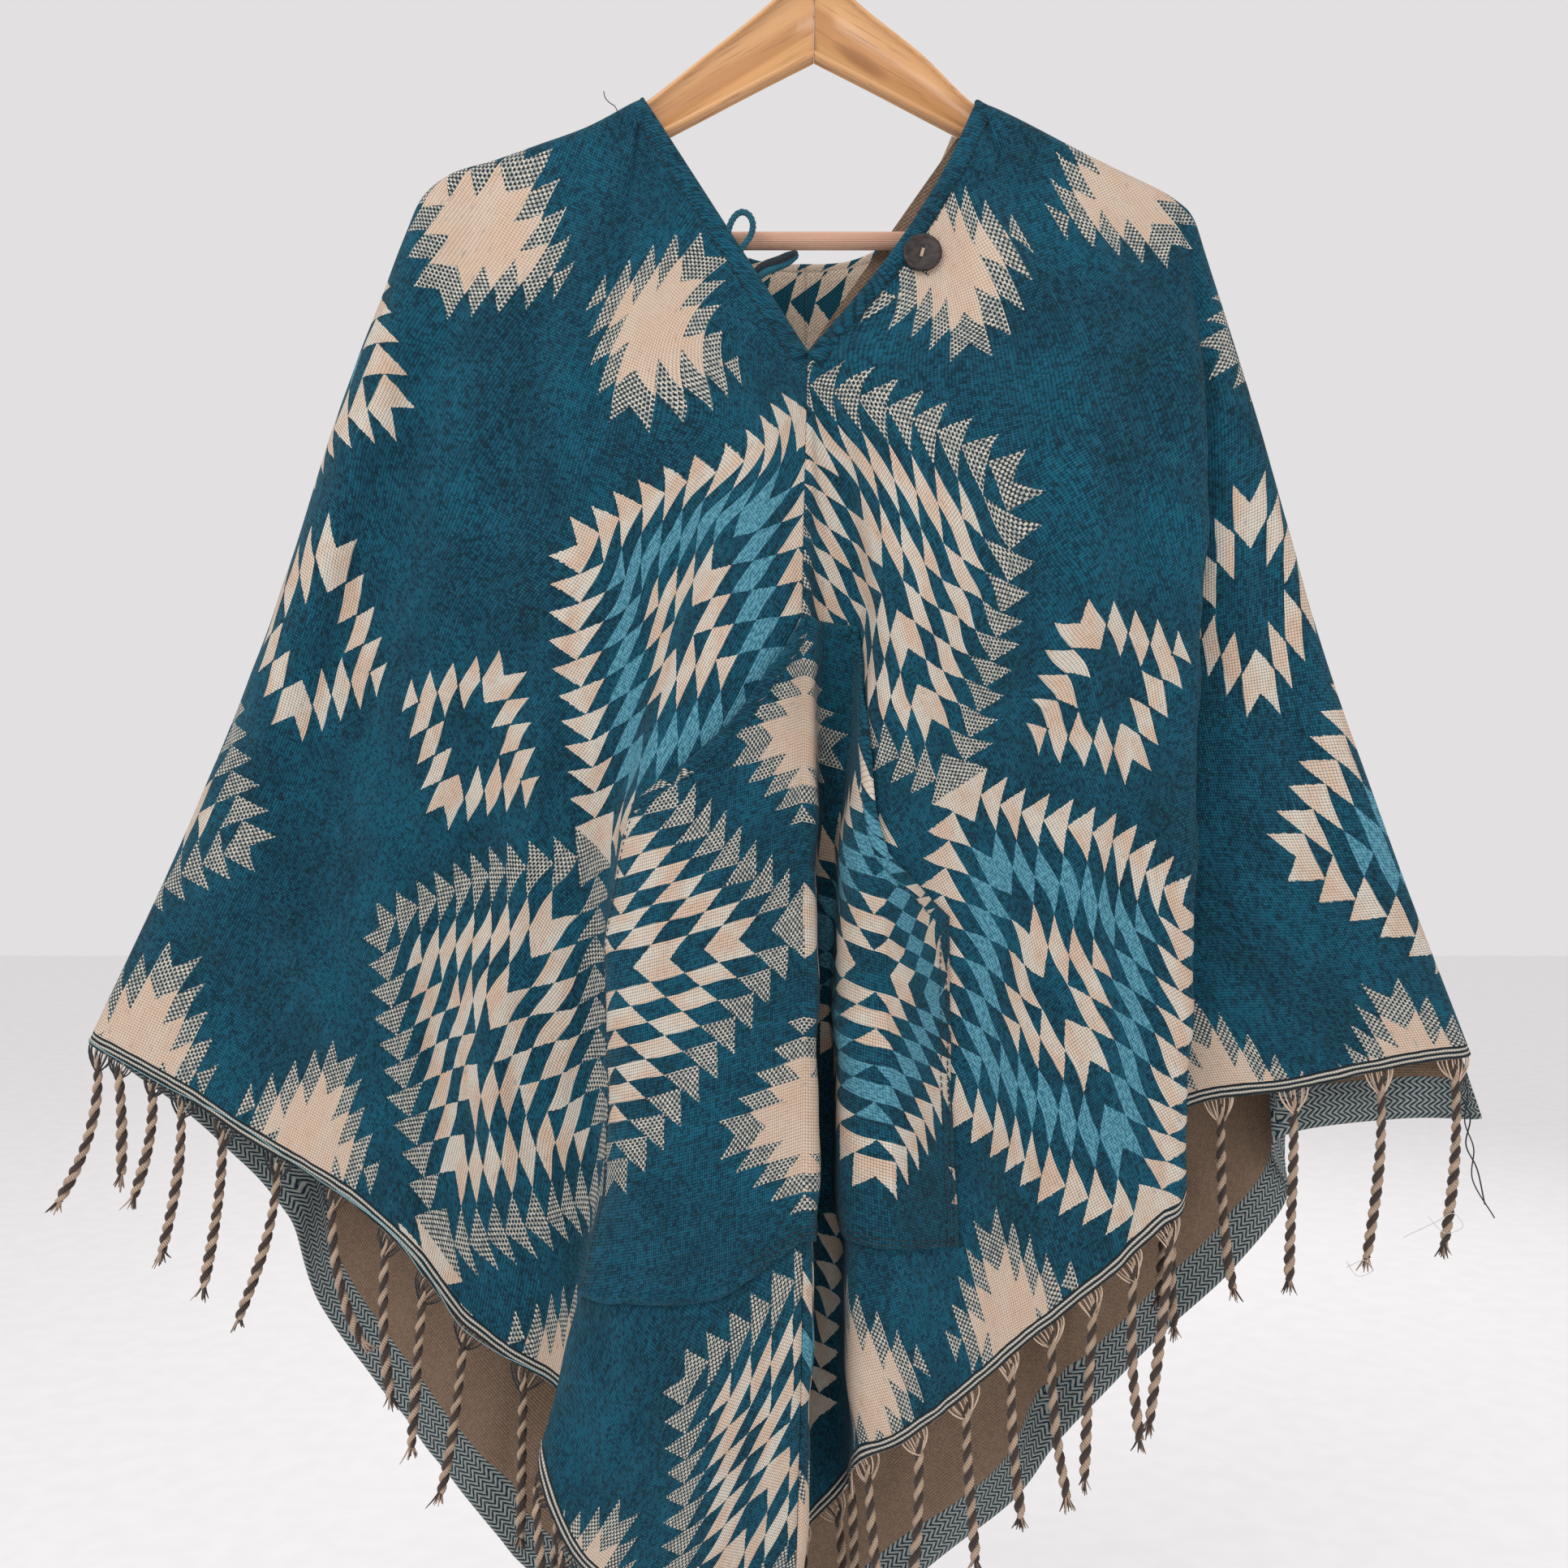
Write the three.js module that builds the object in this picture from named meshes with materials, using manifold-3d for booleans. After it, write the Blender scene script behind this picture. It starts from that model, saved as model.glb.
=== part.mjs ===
// A hooded poncho on a wooden hanger. Millimetres, +Z up, the front faces -Y.
// The origin is the inside top of the hanger's hook, where a rail carries it.
// Left and right are as seen from the front. Every panel is a thin wall of cloth.
// A panel is a skin over named lines that run down the cloth, one row for each line
// or fold: where it starts on the shoulder or neck, where it ends on the hem, and
// how far it stands forward of, or behind, the middle of the hanger.
import * as THREE from 'three';
import { mergeVertices } from 'three/addons/utils/BufferGeometryUtils.js';
import Module from 'manifold-3d';

const wasm = await Module();
wasm.setup();

// Cloth
const WALL = 1.5;
const SEAM_GAP = 0.3;
const LEVELS = [0, 0.25, 0.5, 0.75, 1];
const SHOULDER_ROLL = 9;
const ROLL_LEVELS = [0.0035, 0.0095, 0.019];
const PANEL_ROWS = 15;

// Shoulder line, from the neck to the tip: distance out from the middle, and height
const SHOULDER_LEFT = [
  [99.7, -146.4], [132, -163], [184, -181.5], [207, -188.5], [221, -198], [228, -206],
];
const SHOULDER_RIGHT = [
  [94.6, -147.8], [134, -167.5], [181, -190], [203, -201], [213, -208], [219, -216],
];

// Neck openings, front and back
const FRONT_NECK_LOW = -298;
const BACK_NECK_LOW = -288;
const BACK_SEAM_LEAN = -4;
const RIGHT_NECK_BOW = 11;
const CENTRE_X = -4;

// Hanger
const ARM_THICK = 12;
const ARM_TOP_CLEAR = 2.9;
const ARM_PEAK_Z = -75;
const ARM_PEAK_UNDER_Z = -123;
const ARM_EASE = 4;
const ARM_TIP_CLEAR = 3;
const BAR_Z = -226.5;
const BAR_RADIUS = 5.15;
const BAR_HALF = 186;
// Outline of an arm, out from the middle: beside the peak, the end as its distance in
// from the tip, and the underside with the shoulder against which the bar ends.
const ARM_TOP = [[14, -80], [32, -96], [62, -120]];
const ARM_END = [[15, 0], [11, -214], [10, -226], [14, -237], [22, -242]];
const ARM_LOW = [
  [BAR_HALF + SEAM_GAP, -238], [BAR_HALF + SEAM_GAP, -217],
  [150, -197], [112, -180], [83, -166], [30, -138],
];
const HOOK_WIRE = 1.9;
const HOOK_INSIDE = 20;
const HOOK_BORE_DEPTH = 24;
const HOOK_SHANK_END = 23;
const HOOK_SHANK_OUT = 10;
const HOOK_BEND = [5, -52.5];
const HOOK_ARC = { from: -52, to: 196, step: 15.5 };

// Trim
const BUTTON_RADIUS = 11;
const BUTTON_THICK = 3.2;
const BUTTON_AT = { x: 60, z: -240 };
const BUTTON_SLOT = { wide: 1.9, high: 6 };
const BUTTON_CLEAR = 1.1;
const SEAT_SHARES = Array.from({ length: 10 }, (_, k) => k / 10);
const SEAT_LEVELS = Array.from({ length: 101 }, (_, k) => k / 100);
const LOOP_CORD = 1.9;
const LOOP_RADIUS = 6.6;
const LOOP_SHAPE = { wide: 0.95, high: 1.1 };
const LOOP_AT = { x: -41.2, y: -16.6, z: -223 };
const TAIL_ROUTE = [[-34.5, -252.5], [-28, -247], [-19, -243.5], [-9, -238]];
const TAIL_RADII = [1.6, 2.9, 3, 1.8];
const TAIL_BEHIND = 2.5;
const STRAND_RADIUS = 3;
const FRINGE_STRIP = 4;
const STRIP_GAP = 0.75;

// Lines of the front, left half, from the sleeve's edge to the centre seam.
// Each row: the line's name, the columns from it to the next line, the height of the
// hem, then x and y at the five levels from top to hem.
const FRONT_LEFT = asLines([
  ['sleeve_edge', 1, -689, [-228, -274, -313, -362, -418], [0, 0, 0, 0, 0]],
  ['sleeve_roll', 2, -690, [-227, -272, -311, -360, -416], [-3, -5, -6, -5, -3]],
  ['sleeve_turn', 2, -695, [-221, -263, -302, -350, -404], [-7, -15, -18, -16, -8]],
  ['sleeve_front', 2, -712, [-207, -248, -284, -327, -369], [-8.9, -20, -25, -22, -11]],
  ['sleeve_trough', 2, -740, [-184, -216, -246, -285, -324], [-8.9, -15, -17, -17, -15]],
  ['breast', 2, -775, [-158, -182, -205, -234, -262], [-8.9, -21, -28, -29, -22]],
  ['breast_low', 2, -803, [-130, -152, -174, -202, -229], [-8.9, -21, -25, -24, -26]],
  ['neck_corner', 1, -842, [-99.7, -122, -146, -174, -200], [-8.9, -23, -31, -33, -22]],
  ['neck_roll', 1, -849, [-98.8, -119, -142, -168, -192], [-6.6, -23, -30, -32, -22]],
  ['neck_side', 2, -861, [-96, -113, -134, -156, -176], [-8.8, -23, -30, -31, -22]],
  ['ridge_foot', 1, -883, [-40, -70, -112, -118, -142], [-16, -30, -36, -36, -27]],
  ['ridge_left', 2, -906, [-20, -57, -106, -111, -149], [-19, -42, -62, -66, -60]],
  ['ridge_crest', 3, -955, [-14, -44, -93, -98, -128], [-20, -49, -72, -76, -67]],
  ['ridge_middle', 3, -992, [-10, -25, -50, -52, -62], [-20.5, -47, -75, -83, -75]],
  ['centre_seam', 0, -1013, [-4, -8, -8, -8, -13], [-21, -42, -71, -81, -80]],
]);

// Lines of the front, right half, from the centre seam to the sleeve's edge.
const FRONT_RIGHT = asLines([
  ['centre_seam', 1, -1013, [-4, -8, -8, -8, -13], [-21, -42, -71, -81, -80]],
  ['valley_lip', 2, -1010, [-2.5, -4.5, -4, -4, -9], [-21, -40, -68, -78, -76]],
  ['valley_left', 2, -968, [0, 2, 0, 0, -6], [-21, -25, -18, -14, -13]],
  ['valley_right', 2, -942, [4, 24, 12, 13, 17], [-21, -24, -16, -12, -12]],
  ['ridge_left', 2, -905, [9, 35, 20, 19, 24], [-21, -42, -58, -62, -60]],
  ['ridge_crest', 2, -894, [16, 50, 38, 40, 46], [-21, -50, -68, -70, -62]],
  ['pocket_side', 2, -871, [34, 76, 71, 72, 82], [-20, -47, -59, -61, -53]],
  ['breast', 2, -834, [64, 112, 118, 122, 132], [-15, -39, -48, -50, -44]],
  ['neck_side', 1, -815, [91, 137, 146, 150, 157], [-8.8, -35, -45, -48, -43]],
  ['neck_roll', 1, -806, [93.8, 145, 157, 161, 168], [-6.6, -33, -43, -46, -43]],
  ['neck_corner', 2, -799, [94.6, 150, 163, 167, 175], [-8.9, -31, -42, -45, -42]],
  ['fold_inside', 1, -783, [170, 202, 198, 196, 193], [-8.9, -27, -39, -43, -42]],
  ['fold_edge', 2, -777, [202, 220, 212, 208, 202], [-8.9, -22, -34, -39, -39]],
  ['fold_recess', 2, -730, [210, 224, 214, 211, 206], [-8.2, -9, -9, -9, -10]],
  ['sleeve_front', 2, -714, [214, 236, 246, 264, 277], [-7.6, -12, -14, -14, -9]],
  ['sleeve_turn', 2, -700, [217, 249, 277, 312, 346], [-5.5, -9, -11, -11, -7]],
  ['sleeve_roll', 1, -697, [218.4, 255.5, 288.5, 330.5, 376], [-2.5, -4, -5, -5, -3]],
  ['sleeve_edge', 0, -696, [219, 257, 290.5, 332.5, 378.5], [0, 0, 0, 0, 0]],
]);

// Lines of the back, left half, from the sleeve's edge to the centre back seam.
const BACK_LEFT = asLines([
  ['sleeve_edge', 1, -690, [-228, -274, -313, -362, -418], [0, 0, 0, 0, 0]],
  ['sleeve_roll', 1, -694, [-227, -272, -311, -360, -415], [3, 5, 5, 5, 3]],
  ['sleeve_turn', 2, -706, [-221, -262, -301, -348, -400], [7, 11, 13, 12, 9]],
  ['sleeve_back', 2, -742, [-207, -246, -282, -322, -356], [8.9, 21, 26, 22, 14]],
  ['sleeve_fold', 2, -796, [-184, -222, -256, -288, -310], [8.9, 16, 19, 22, 22]],
  ['blade', 2, -850, [-160, -194, -226, -262, -298], [8.9, 22, 33, 39, 38]],
  ['blade_fold', 2, -924, [-130, -158, -186, -217, -246], [8.9, 24, 30, 34, 43]],
  ['neck_corner', 1, -982, [-99.7, -122, -147, -172, -196], [8.9, 20, 30, 36, 35]],
  ['neck_roll', 1, -993, [-98.8, -117, -141, -166, -188], [6.6, 19, 28, 37, 37]],
  ['neck_side', 2, -1010, [-96, -110, -132, -155, -176], [8.8, 18, 26, 38, 40]],
  ['spine_fold', 2, -1042, [-66, -84, -102, -120, -138], [9.5, 18, 26, 42, 48]],
  ['spine_trough', 2, -1074, [-34, -48, -60, -70, -80], [10.5, 17, 20, 24, 33]],
  ['centre_seam', 0, -1096, [-4, -8, -12, -16, -20], [12, 18, 24, 38, 46]],
]);

// Lines of the back, right half, from the centre back seam to the sleeve's edge.
const BACK_RIGHT = asLines([
  ['centre_seam', 2, -1096, [-4, -8, -12, -16, -20], [12, 18, 24, 38, 46]],
  ['spine_trough', 2, -1016, [30, 40, 47, 53, 59], [10.5, 17, 20, 25, 32]],
  ['spine_fold', 2, -972, [62, 80, 96, 110, 124], [9.5, 18, 26, 40, 46]],
  ['neck_side', 1, -940, [91, 104, 120, 134, 145], [8.8, 18, 27, 37, 41]],
  ['neck_roll', 1, -928, [93.8, 112, 129, 143, 154], [6.6, 19, 29, 36, 38]],
  ['neck_corner', 2, -919, [94.6, 116, 134, 149, 161], [8.9, 20, 30, 34, 36]],
  ['blade_fold', 2, -870, [130, 158, 179, 198, 214], [8.9, 24, 31, 35, 43]],
  ['blade', 2, -831, [162, 192, 216, 237, 254], [8.9, 22, 31, 37, 39]],
  ['fold_edge', 2, -786, [192, 220, 246, 270, 285], [8.9, 18, 26, 32, 35]],
  ['fold_recess', 2, -750, [206, 231, 252, 268, 270], [8.8, 11, 13, 14, 14]],
  ['sleeve_turn', 2, -735, [215, 248, 277, 314, 340], [6.5, 10, 13, 12, 9]],
  ['sleeve_roll', 1, -734, [218.4, 257.5, 293.5, 339.5, 383], [2.5, 4, 5, 5, 3]],
  ['sleeve_edge', 0, -733, [219, 259.5, 295.5, 341.5, 385.5], [0, 0, 0, 0, 0]],
]);

// The pocket lies on the front between two of its lines: on each line, the heights
// between which its cloth lies and how far it stands off the panel there.
const POCKET_LEFT = {
  first: 'ridge_left',
  top: [-552, -530, -478, -448],
  low: [-814, -813, -809, -780],
  lift: [0, 6, 6.4, 0.6],
};
const POCKET_RIGHT = {
  first: 'centre_seam',
  top: [-448, -449, -450, -452, -502, -578, -612],
  low: [-780, -781, -784, -784, -785, -787, -788],
  lift: [0.6, 0.4, 0, 0, 0.6, 4.5, 0],
};
const POCKET_ROWS = 12;
const POCKET_CLEAR = 1;

// Tassels: share of the hem from the sleeve to the centre, sideways lean of the tip
// and length. The roots are gathered by hand, so no two are alike.
const TASSELS_LEFT = [
  { at: 0.02, lean: -22, drop: 84 }, { at: 0.045, lean: 3, drop: 62 }, { at: 0.085, lean: -8, drop: 64 },
  { at: 0.12, lean: -8, drop: 86 }, { at: 0.17, lean: -7, drop: 90 }, { at: 0.235, lean: -18, drop: 88 },
  { at: 0.3, lean: 20, drop: 82 }, { at: 0.37, lean: 5, drop: 88 }, { at: 0.43, lean: -6, drop: 90 },
  { at: 0.49, lean: -14, drop: 90 }, { at: 0.56, lean: -5, drop: 92 }, { at: 0.62, lean: -7, drop: 86 },
  { at: 0.7, lean: 4, drop: 90 }, { at: 0.76, lean: -6, drop: 92 }, { at: 0.82, lean: 5, drop: 88 },
  { at: 0.87, lean: -4, drop: 92 }, { at: 0.92, lean: 6, drop: 90 }, { at: 0.97, lean: -3, drop: 94 },
];
const TASSELS_RIGHT = [
  { at: 0.02, lean: -6, drop: 104 }, { at: 0.09, lean: -6, drop: 104 }, { at: 0.17, lean: 1, drop: 106 },
  { at: 0.235, lean: 11, drop: 106 }, { at: 0.29, lean: -4, drop: 96 }, { at: 0.33, lean: 3, drop: 88 },
  { at: 0.385, lean: -10, drop: 108 }, { at: 0.43, lean: 4, drop: 98 },
  { at: 0.475, lean: -6, drop: 100 },
  { at: 0.52, lean: 6, drop: 92 }, { at: 0.565, lean: 2, drop: 84 }, { at: 0.615, lean: 1, drop: 86 },
  { at: 0.665, lean: -9, drop: 80 }, { at: 0.715, lean: 3, drop: 88 }, { at: 0.765, lean: -4, drop: 90 },
  { at: 0.83, lean: 2, drop: 84 }, { at: 0.875, lean: -3, drop: 86 }, { at: 0.93, lean: 4, drop: 90 },
  { at: 0.98, lean: -2, drop: 92 },
];

// Hood: it hangs behind the back neck as an open pouch. The rim runs from rimLow at
// the seam to rimHigh; the fold at the bottom is an arc round middle that sweeps out.
const HOOD = {
  rimLow: -228,
  rimHigh: -156,
  rimInset: 8,
  neckInset: 6,
  neckDrop: 2,
  cornerDrop: 14,
  halfWidth: 136,
  middle: -300,
  depth: 214,
  sweep: THREE.MathUtils.degToRad(128),
  open: 24,
  fold: 3.2,
  clear: 0.5,
  columns: 9,
  outerRows: 9,
  innerRows: 7,
};
const HOOD_SEAT_REACH = 16;

// Materials
const clothTeal = new THREE.MeshStandardMaterial({ color: 0x0f4a61, roughness: 0.95, metalness: 0 });
const tasselYarn = new THREE.MeshStandardMaterial({ color: 0x4a3a34, roughness: 0.95, metalness: 0 });
const paleWood = new THREE.MeshStandardMaterial({ color: 0xd29a62, roughness: 0.45, metalness: 0 });
const dowelWood = new THREE.MeshStandardMaterial({ color: 0xc9a184, roughness: 0.6, metalness: 0 });
const steel = new THREE.MeshStandardMaterial({ color: 0xc9ccd0, roughness: 0.25, metalness: 1 });
const buttonHorn = new THREE.MeshStandardMaterial({ color: 0x4b443f, roughness: 0.5, metalness: 0 });

function asLines(table) {
  return table.map(([line, cells, hem, x, y]) => ({ line, cells, hem, x, y }));
}

const poncho = new THREE.Group();
const up = new THREE.Vector3(0, 0, 1);

function addMesh(name, geometry, material) {
  const mesh = new THREE.Mesh(geometry, material);
  mesh.name = name;
  poncho.add(mesh);
}

// Curves through given values

// A smooth curve through four numbers, from the second to the third.
function smooth(before, from, to, after, share) {
  const slopeFrom = (to - before) / 2;
  const slopeTo = (after - from) / 2;
  const s2 = share * share;
  const s3 = s2 * share;
  return from * (2 * s3 - 3 * s2 + 1) + slopeFrom * (s3 - 2 * s2 + share)
    + to * (3 * s2 - 2 * s3) + slopeTo * (s3 - s2);
}

// The value at level v on a curve through one value for each of the five levels.
function alongLevels(values, v) {
  const last = LEVELS.length - 1;
  const step = Math.min(last - 1, Math.floor(v * last));
  const share = v * last - step;
  const before = step > 0 ? values[step - 1] : 2 * values[0] - values[1];
  const after = step + 2 <= last ? values[step + 2] : 2 * values[last] - values[last - 1];
  return smooth(before, values[step], values[step + 1], after, share);
}

// Height of the shoulder line at a distance out from the middle.
function shoulderHeight(x) {
  const table = x < 0 ? SHOULDER_LEFT : SHOULDER_RIGHT;
  const out = Math.abs(x);
  for (let i = 1; i < table.length; i++) {
    if (out <= table[i][0] || i === table.length - 1) {
      const share = (out - table[i - 1][0]) / (table[i][0] - table[i - 1][0]);
      return table[i - 1][1] + share * (table[i][1] - table[i - 1][1]);
    }
  }
  return 0;
}

// Where a line starts: on the shoulder, or on the neck edge inside the neck corner.
function lineTop(x0, low, bow) {
  const table = x0 < 0 ? SHOULDER_LEFT : SHOULDER_RIGHT;
  const corner = x0 < 0 ? -table[0][0] : table[0][0];
  if (Math.abs(x0) >= Math.abs(corner) - 1e-6) {
    return { z: shoulderHeight(x0), x: x0, onShoulder: true };
  }
  const share = (corner - x0) / (corner - CENTRE_X);
  const swell = bow * Math.sin(Math.PI * share);
  return { z: table[0][1] + share * (low - table[0][1]), x: x0 + swell, onShoulder: false };
}

// Front and back stay on their own sides of the fold at the sleeve and shoulder.
function keepApart(y, side) {
  return side < 0 ? Math.min(y, -SEAM_GAP / 2) : Math.max(y, SEAM_GAP / 2);
}

// The point at level v on one line.
function linePoint(row, side, v) {
  const low = side < 0 ? FRONT_NECK_LOW : BACK_NECK_LOW;
  const bow = side < 0 && row.x[0] > 0 ? RIGHT_NECK_BOW : 0;
  const top = lineTop(row.x[0], low, bow);
  const z = top.z + (row.hem - top.z) * v;
  const x = alongLevels([top.x, ...row.x.slice(1)], v);
  let y = alongLevels(row.y, v);
  if (top.onShoulder) {
    const rolled = Math.min(1, (top.z - z) / SHOULDER_ROLL);
    y *= Math.sqrt(1 - (1 - rolled) ** 2);
  }
  return new THREE.Vector3(x, keepApart(y, side), z);
}

// A smooth curve through four points, with knots spaced by the root of the distances
// so that a tight fold beside a wide one doesn't overshoot.
function throughPoints(p0, p1, p2, p3, share) {
  const k1 = Math.sqrt(Math.max(p0.distanceTo(p1), 0.01));
  const k2 = k1 + Math.sqrt(Math.max(p1.distanceTo(p2), 0.01));
  const k3 = k2 + Math.sqrt(Math.max(p2.distanceTo(p3), 0.01));
  const t = k1 + share * (k2 - k1);
  const mix = (a, b, from, to) => a.clone().multiplyScalar((to - t) / (to - from))
    .addScaledVector(b, (t - from) / (to - from));
  const a1 = mix(p0, p1, 0, k1);
  const a2 = mix(p1, p2, k1, k2);
  const a3 = mix(p2, p3, k2, k3);
  return mix(mix(a1, a2, 0, k2), mix(a2, a3, k1, k3), k1, k2);
}

// The point between line i and the next one, at level v.
function surfacePoint(rows, side, i, share, v) {
  const point = (k, w = v) => linePoint(rows[k], side, w);
  if (share === 0) {
    return point(i);
  }
  const p1 = point(i);
  const p2 = point(i + 1);
  const p0 = i > 0 ? point(i - 1) : p1.clone().multiplyScalar(2).sub(p2);
  const p3 = i + 2 < rows.length ? point(i + 2) : p2.clone().multiplyScalar(2).sub(p1);
  const between = throughPoints(p0, p1, p2, p3, share);
  between.y = keepApart(between.y, side);
  return between;
}

// The columns of a panel: each line and the columns between it and the next.
function panelColumns(rows) {
  const columns = [];
  rows.forEach((row, i) => {
    const cells = Math.max(row.cells, 1);
    for (let c = 0; c < cells && (row.cells > 0 || c === 0); c++) {
      columns.push({ i, share: c / cells });
    }
  });
  return columns;
}

// The levels of a panel: three close together where the cloth rolls over the shoulder.
function panelLevels() {
  const levels = [0, ...ROLL_LEVELS];
  const rolled = ROLL_LEVELS[ROLL_LEVELS.length - 1];
  for (let k = 1; k <= PANEL_ROWS; k++) {
    levels.push(rolled + (1 - rolled) * k / PANEL_ROWS);
  }
  return levels;
}

// Walls

// Normals of a grid of points, from the faces round each point, all on one side.
function gridNormals(grid, side) {
  const rows = grid.length;
  const cols = grid[0].length;
  const normals = grid.map((row) => row.map(() => new THREE.Vector3()));
  for (let r = 0; r + 1 < rows; r++) {
    for (let c = 0; c + 1 < cols; c++) {
      const diagonal = grid[r + 1][c + 1].clone().sub(grid[r][c]);
      const other = grid[r + 1][c].clone().sub(grid[r][c + 1]);
      const face = diagonal.cross(other);
      for (const [a, b] of [[r, c], [r, c + 1], [r + 1, c], [r + 1, c + 1]]) {
        normals[a][b].add(face);
      }
    }
  }
  normals.forEach((row) => row.forEach((n) => n.normalize().multiplyScalar(side)));
  return normals;
}

// A closed wall from a grid of middle points and their normals.
function wallGeometry(grid, normals, wall = WALL) {
  const rows = grid.length;
  const cols = grid[0].length;
  const positions = [];
  for (const face of [0.5, -0.5]) {
    for (let r = 0; r < rows; r++) {
      for (let c = 0; c < cols; c++) {
        const p = grid[r][c].clone().addScaledVector(normals[r][c], face * wall);
        positions.push(p.x, p.y, p.z);
      }
    }
  }
  const index = [];
  const at = (layer, r, c) => layer * rows * cols + r * cols + c;
  const quad = (a, b, c, d) => index.push(a, b, c, a, c, d);
  for (let r = 0; r + 1 < rows; r++) {
    for (let c = 0; c + 1 < cols; c++) {
      quad(at(0, r, c), at(0, r + 1, c), at(0, r + 1, c + 1), at(0, r, c + 1));
      quad(at(1, r, c), at(1, r, c + 1), at(1, r + 1, c + 1), at(1, r + 1, c));
    }
  }
  for (let r = 0; r + 1 < rows; r++) {
    quad(at(0, r, 0), at(1, r, 0), at(1, r + 1, 0), at(0, r + 1, 0));
    quad(at(0, r, cols - 1), at(0, r + 1, cols - 1), at(1, r + 1, cols - 1), at(1, r, cols - 1));
  }
  for (let c = 0; c + 1 < cols; c++) {
    quad(at(0, 0, c), at(0, 0, c + 1), at(1, 0, c + 1), at(1, 0, c));
    quad(at(0, rows - 1, c), at(1, rows - 1, c), at(1, rows - 1, c + 1), at(0, rows - 1, c + 1));
  }
  return facingOut(positions, index);
}

// A geometry from positions and triangles, turned so that its faces point out.
function facingOut(positions, index) {
  let volume = 0;
  const a = new THREE.Vector3();
  const b = new THREE.Vector3();
  const c = new THREE.Vector3();
  for (let i = 0; i < index.length; i += 3) {
    a.fromArray(positions, 3 * index[i]);
    b.fromArray(positions, 3 * index[i + 1]);
    c.fromArray(positions, 3 * index[i + 2]);
    volume += a.dot(b.cross(c));
  }
  if (volume < 0) {
    for (let i = 0; i < index.length; i += 3) {
      [index[i], index[i + 1]] = [index[i + 1], index[i]];
    }
  }
  const geometry = new THREE.BufferGeometry();
  geometry.setAttribute('position', new THREE.Float32BufferAttribute(positions, 3));
  geometry.setIndex(index);
  return geometry;
}

function asSolid(geometry) {
  const bare = geometry.clone();
  bare.deleteAttribute('normal');
  bare.deleteAttribute('uv');
  const merged = mergeVertices(bare, 1e-4);
  return new wasm.Manifold(new wasm.Mesh({
    numProp: 3,
    vertProperties: new Float32Array(merged.attributes.position.array),
    triVerts: new Uint32Array(merged.index.array),
  }));
}

function asGeometry(solid) {
  const mesh = solid.getMesh();
  const geometry = new THREE.BufferGeometry();
  geometry.setAttribute('position', new THREE.BufferAttribute(new Float32Array(mesh.vertProperties), 3));
  geometry.setIndex(new THREE.BufferAttribute(new Uint32Array(mesh.triVerts), 1));
  return geometry;
}

// A closed tube through points, with a radius at each, a flat cap at each end.
function tubeGeometry(points, radii, sides, across = new THREE.Vector3(0, 1, 0)) {
  const positions = [];
  const index = [];
  points.forEach((point, k) => {
    const before = points[Math.max(0, k - 1)];
    const after = points[Math.min(points.length - 1, k + 1)];
    const along = after.clone().sub(before).normalize();
    const right = across.clone().cross(along).normalize();
    const front = along.clone().cross(right);
    for (let s = 0; s < sides; s++) {
      const angle = 2 * Math.PI * (s + 0.5) / sides;
      const p = point.clone().addScaledVector(right, radii[k] * Math.cos(angle))
        .addScaledVector(front, radii[k] * Math.sin(angle));
      positions.push(p.x, p.y, p.z);
    }
  });
  for (let k = 0; k + 1 < points.length; k++) {
    for (let s = 0; s < sides; s++) {
      const a = k * sides + s;
      const b = k * sides + (s + 1) % sides;
      index.push(a, b, b + sides, a, b + sides, a + sides);
    }
  }
  const last = (points.length - 1) * sides;
  for (let s = 1; s + 1 < sides; s++) {
    index.push(0, s + 1, s, last, last + s, last + s + 1);
  }
  return facingOut(positions, index);
}

// Body panels

function panelGrid(rows, side) {
  const columns = panelColumns(rows);
  const grid = panelLevels().map((v) => (
    columns.map(({ i, share }) => surfacePoint(rows, side, i, share, v))));
  const normals = gridNormals(grid, side);
  const cols = columns.length;
  const sleeveColumn = rows[0].line === 'sleeve_edge' ? 0 : cols - 1;
  const seamColumn = cols - 1 - sleeveColumn;
  grid.forEach((row, r) => {
    normals[r][sleeveColumn].setY(0).normalize();
    normals[r][seamColumn].setX(0).normalize();
    const away = seamColumn === 0 ? 1 : -1;
    row[seamColumn].x += away * SEAM_GAP / 2;
  });
  columns.forEach(({ i, share }, c) => {
    const table = rows[i].x[0] < 0 ? SHOULDER_LEFT : SHOULDER_RIGHT;
    const nearNeck = Math.abs(grid[0][c].x) < table[0][0] - 1e-6;
    if (!nearNeck) {
      normals[0][c].setY(0).normalize();
    }
  });
  return { grid, normals, columns };
}

const frontLeft = panelGrid(FRONT_LEFT, -1);
const frontRight = panelGrid(FRONT_RIGHT, -1);
const backLeft = panelGrid(BACK_LEFT, 1);
const backRight = panelGrid(BACK_RIGHT, 1);

addMesh('front_left', wallGeometry(frontLeft.grid, frontLeft.normals), clothTeal);
addMesh('front_right', wallGeometry(frontRight.grid, frontRight.normals), clothTeal);
addMesh('back_left', wallGeometry(backLeft.grid, backLeft.normals), clothTeal);
addMesh('back_right', wallGeometry(backRight.grid, backRight.normals), clothTeal);

// Pocket: the front's own lines between two heights, moved out from its points

function heightLevel(row, z) {
  const bow = row.x[0] > 0 ? RIGHT_NECK_BOW : 0;
  const top = lineTop(row.x[0], FRONT_NECK_LOW, bow);
  return (z - top.z) / (row.hem - top.z);
}

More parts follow.
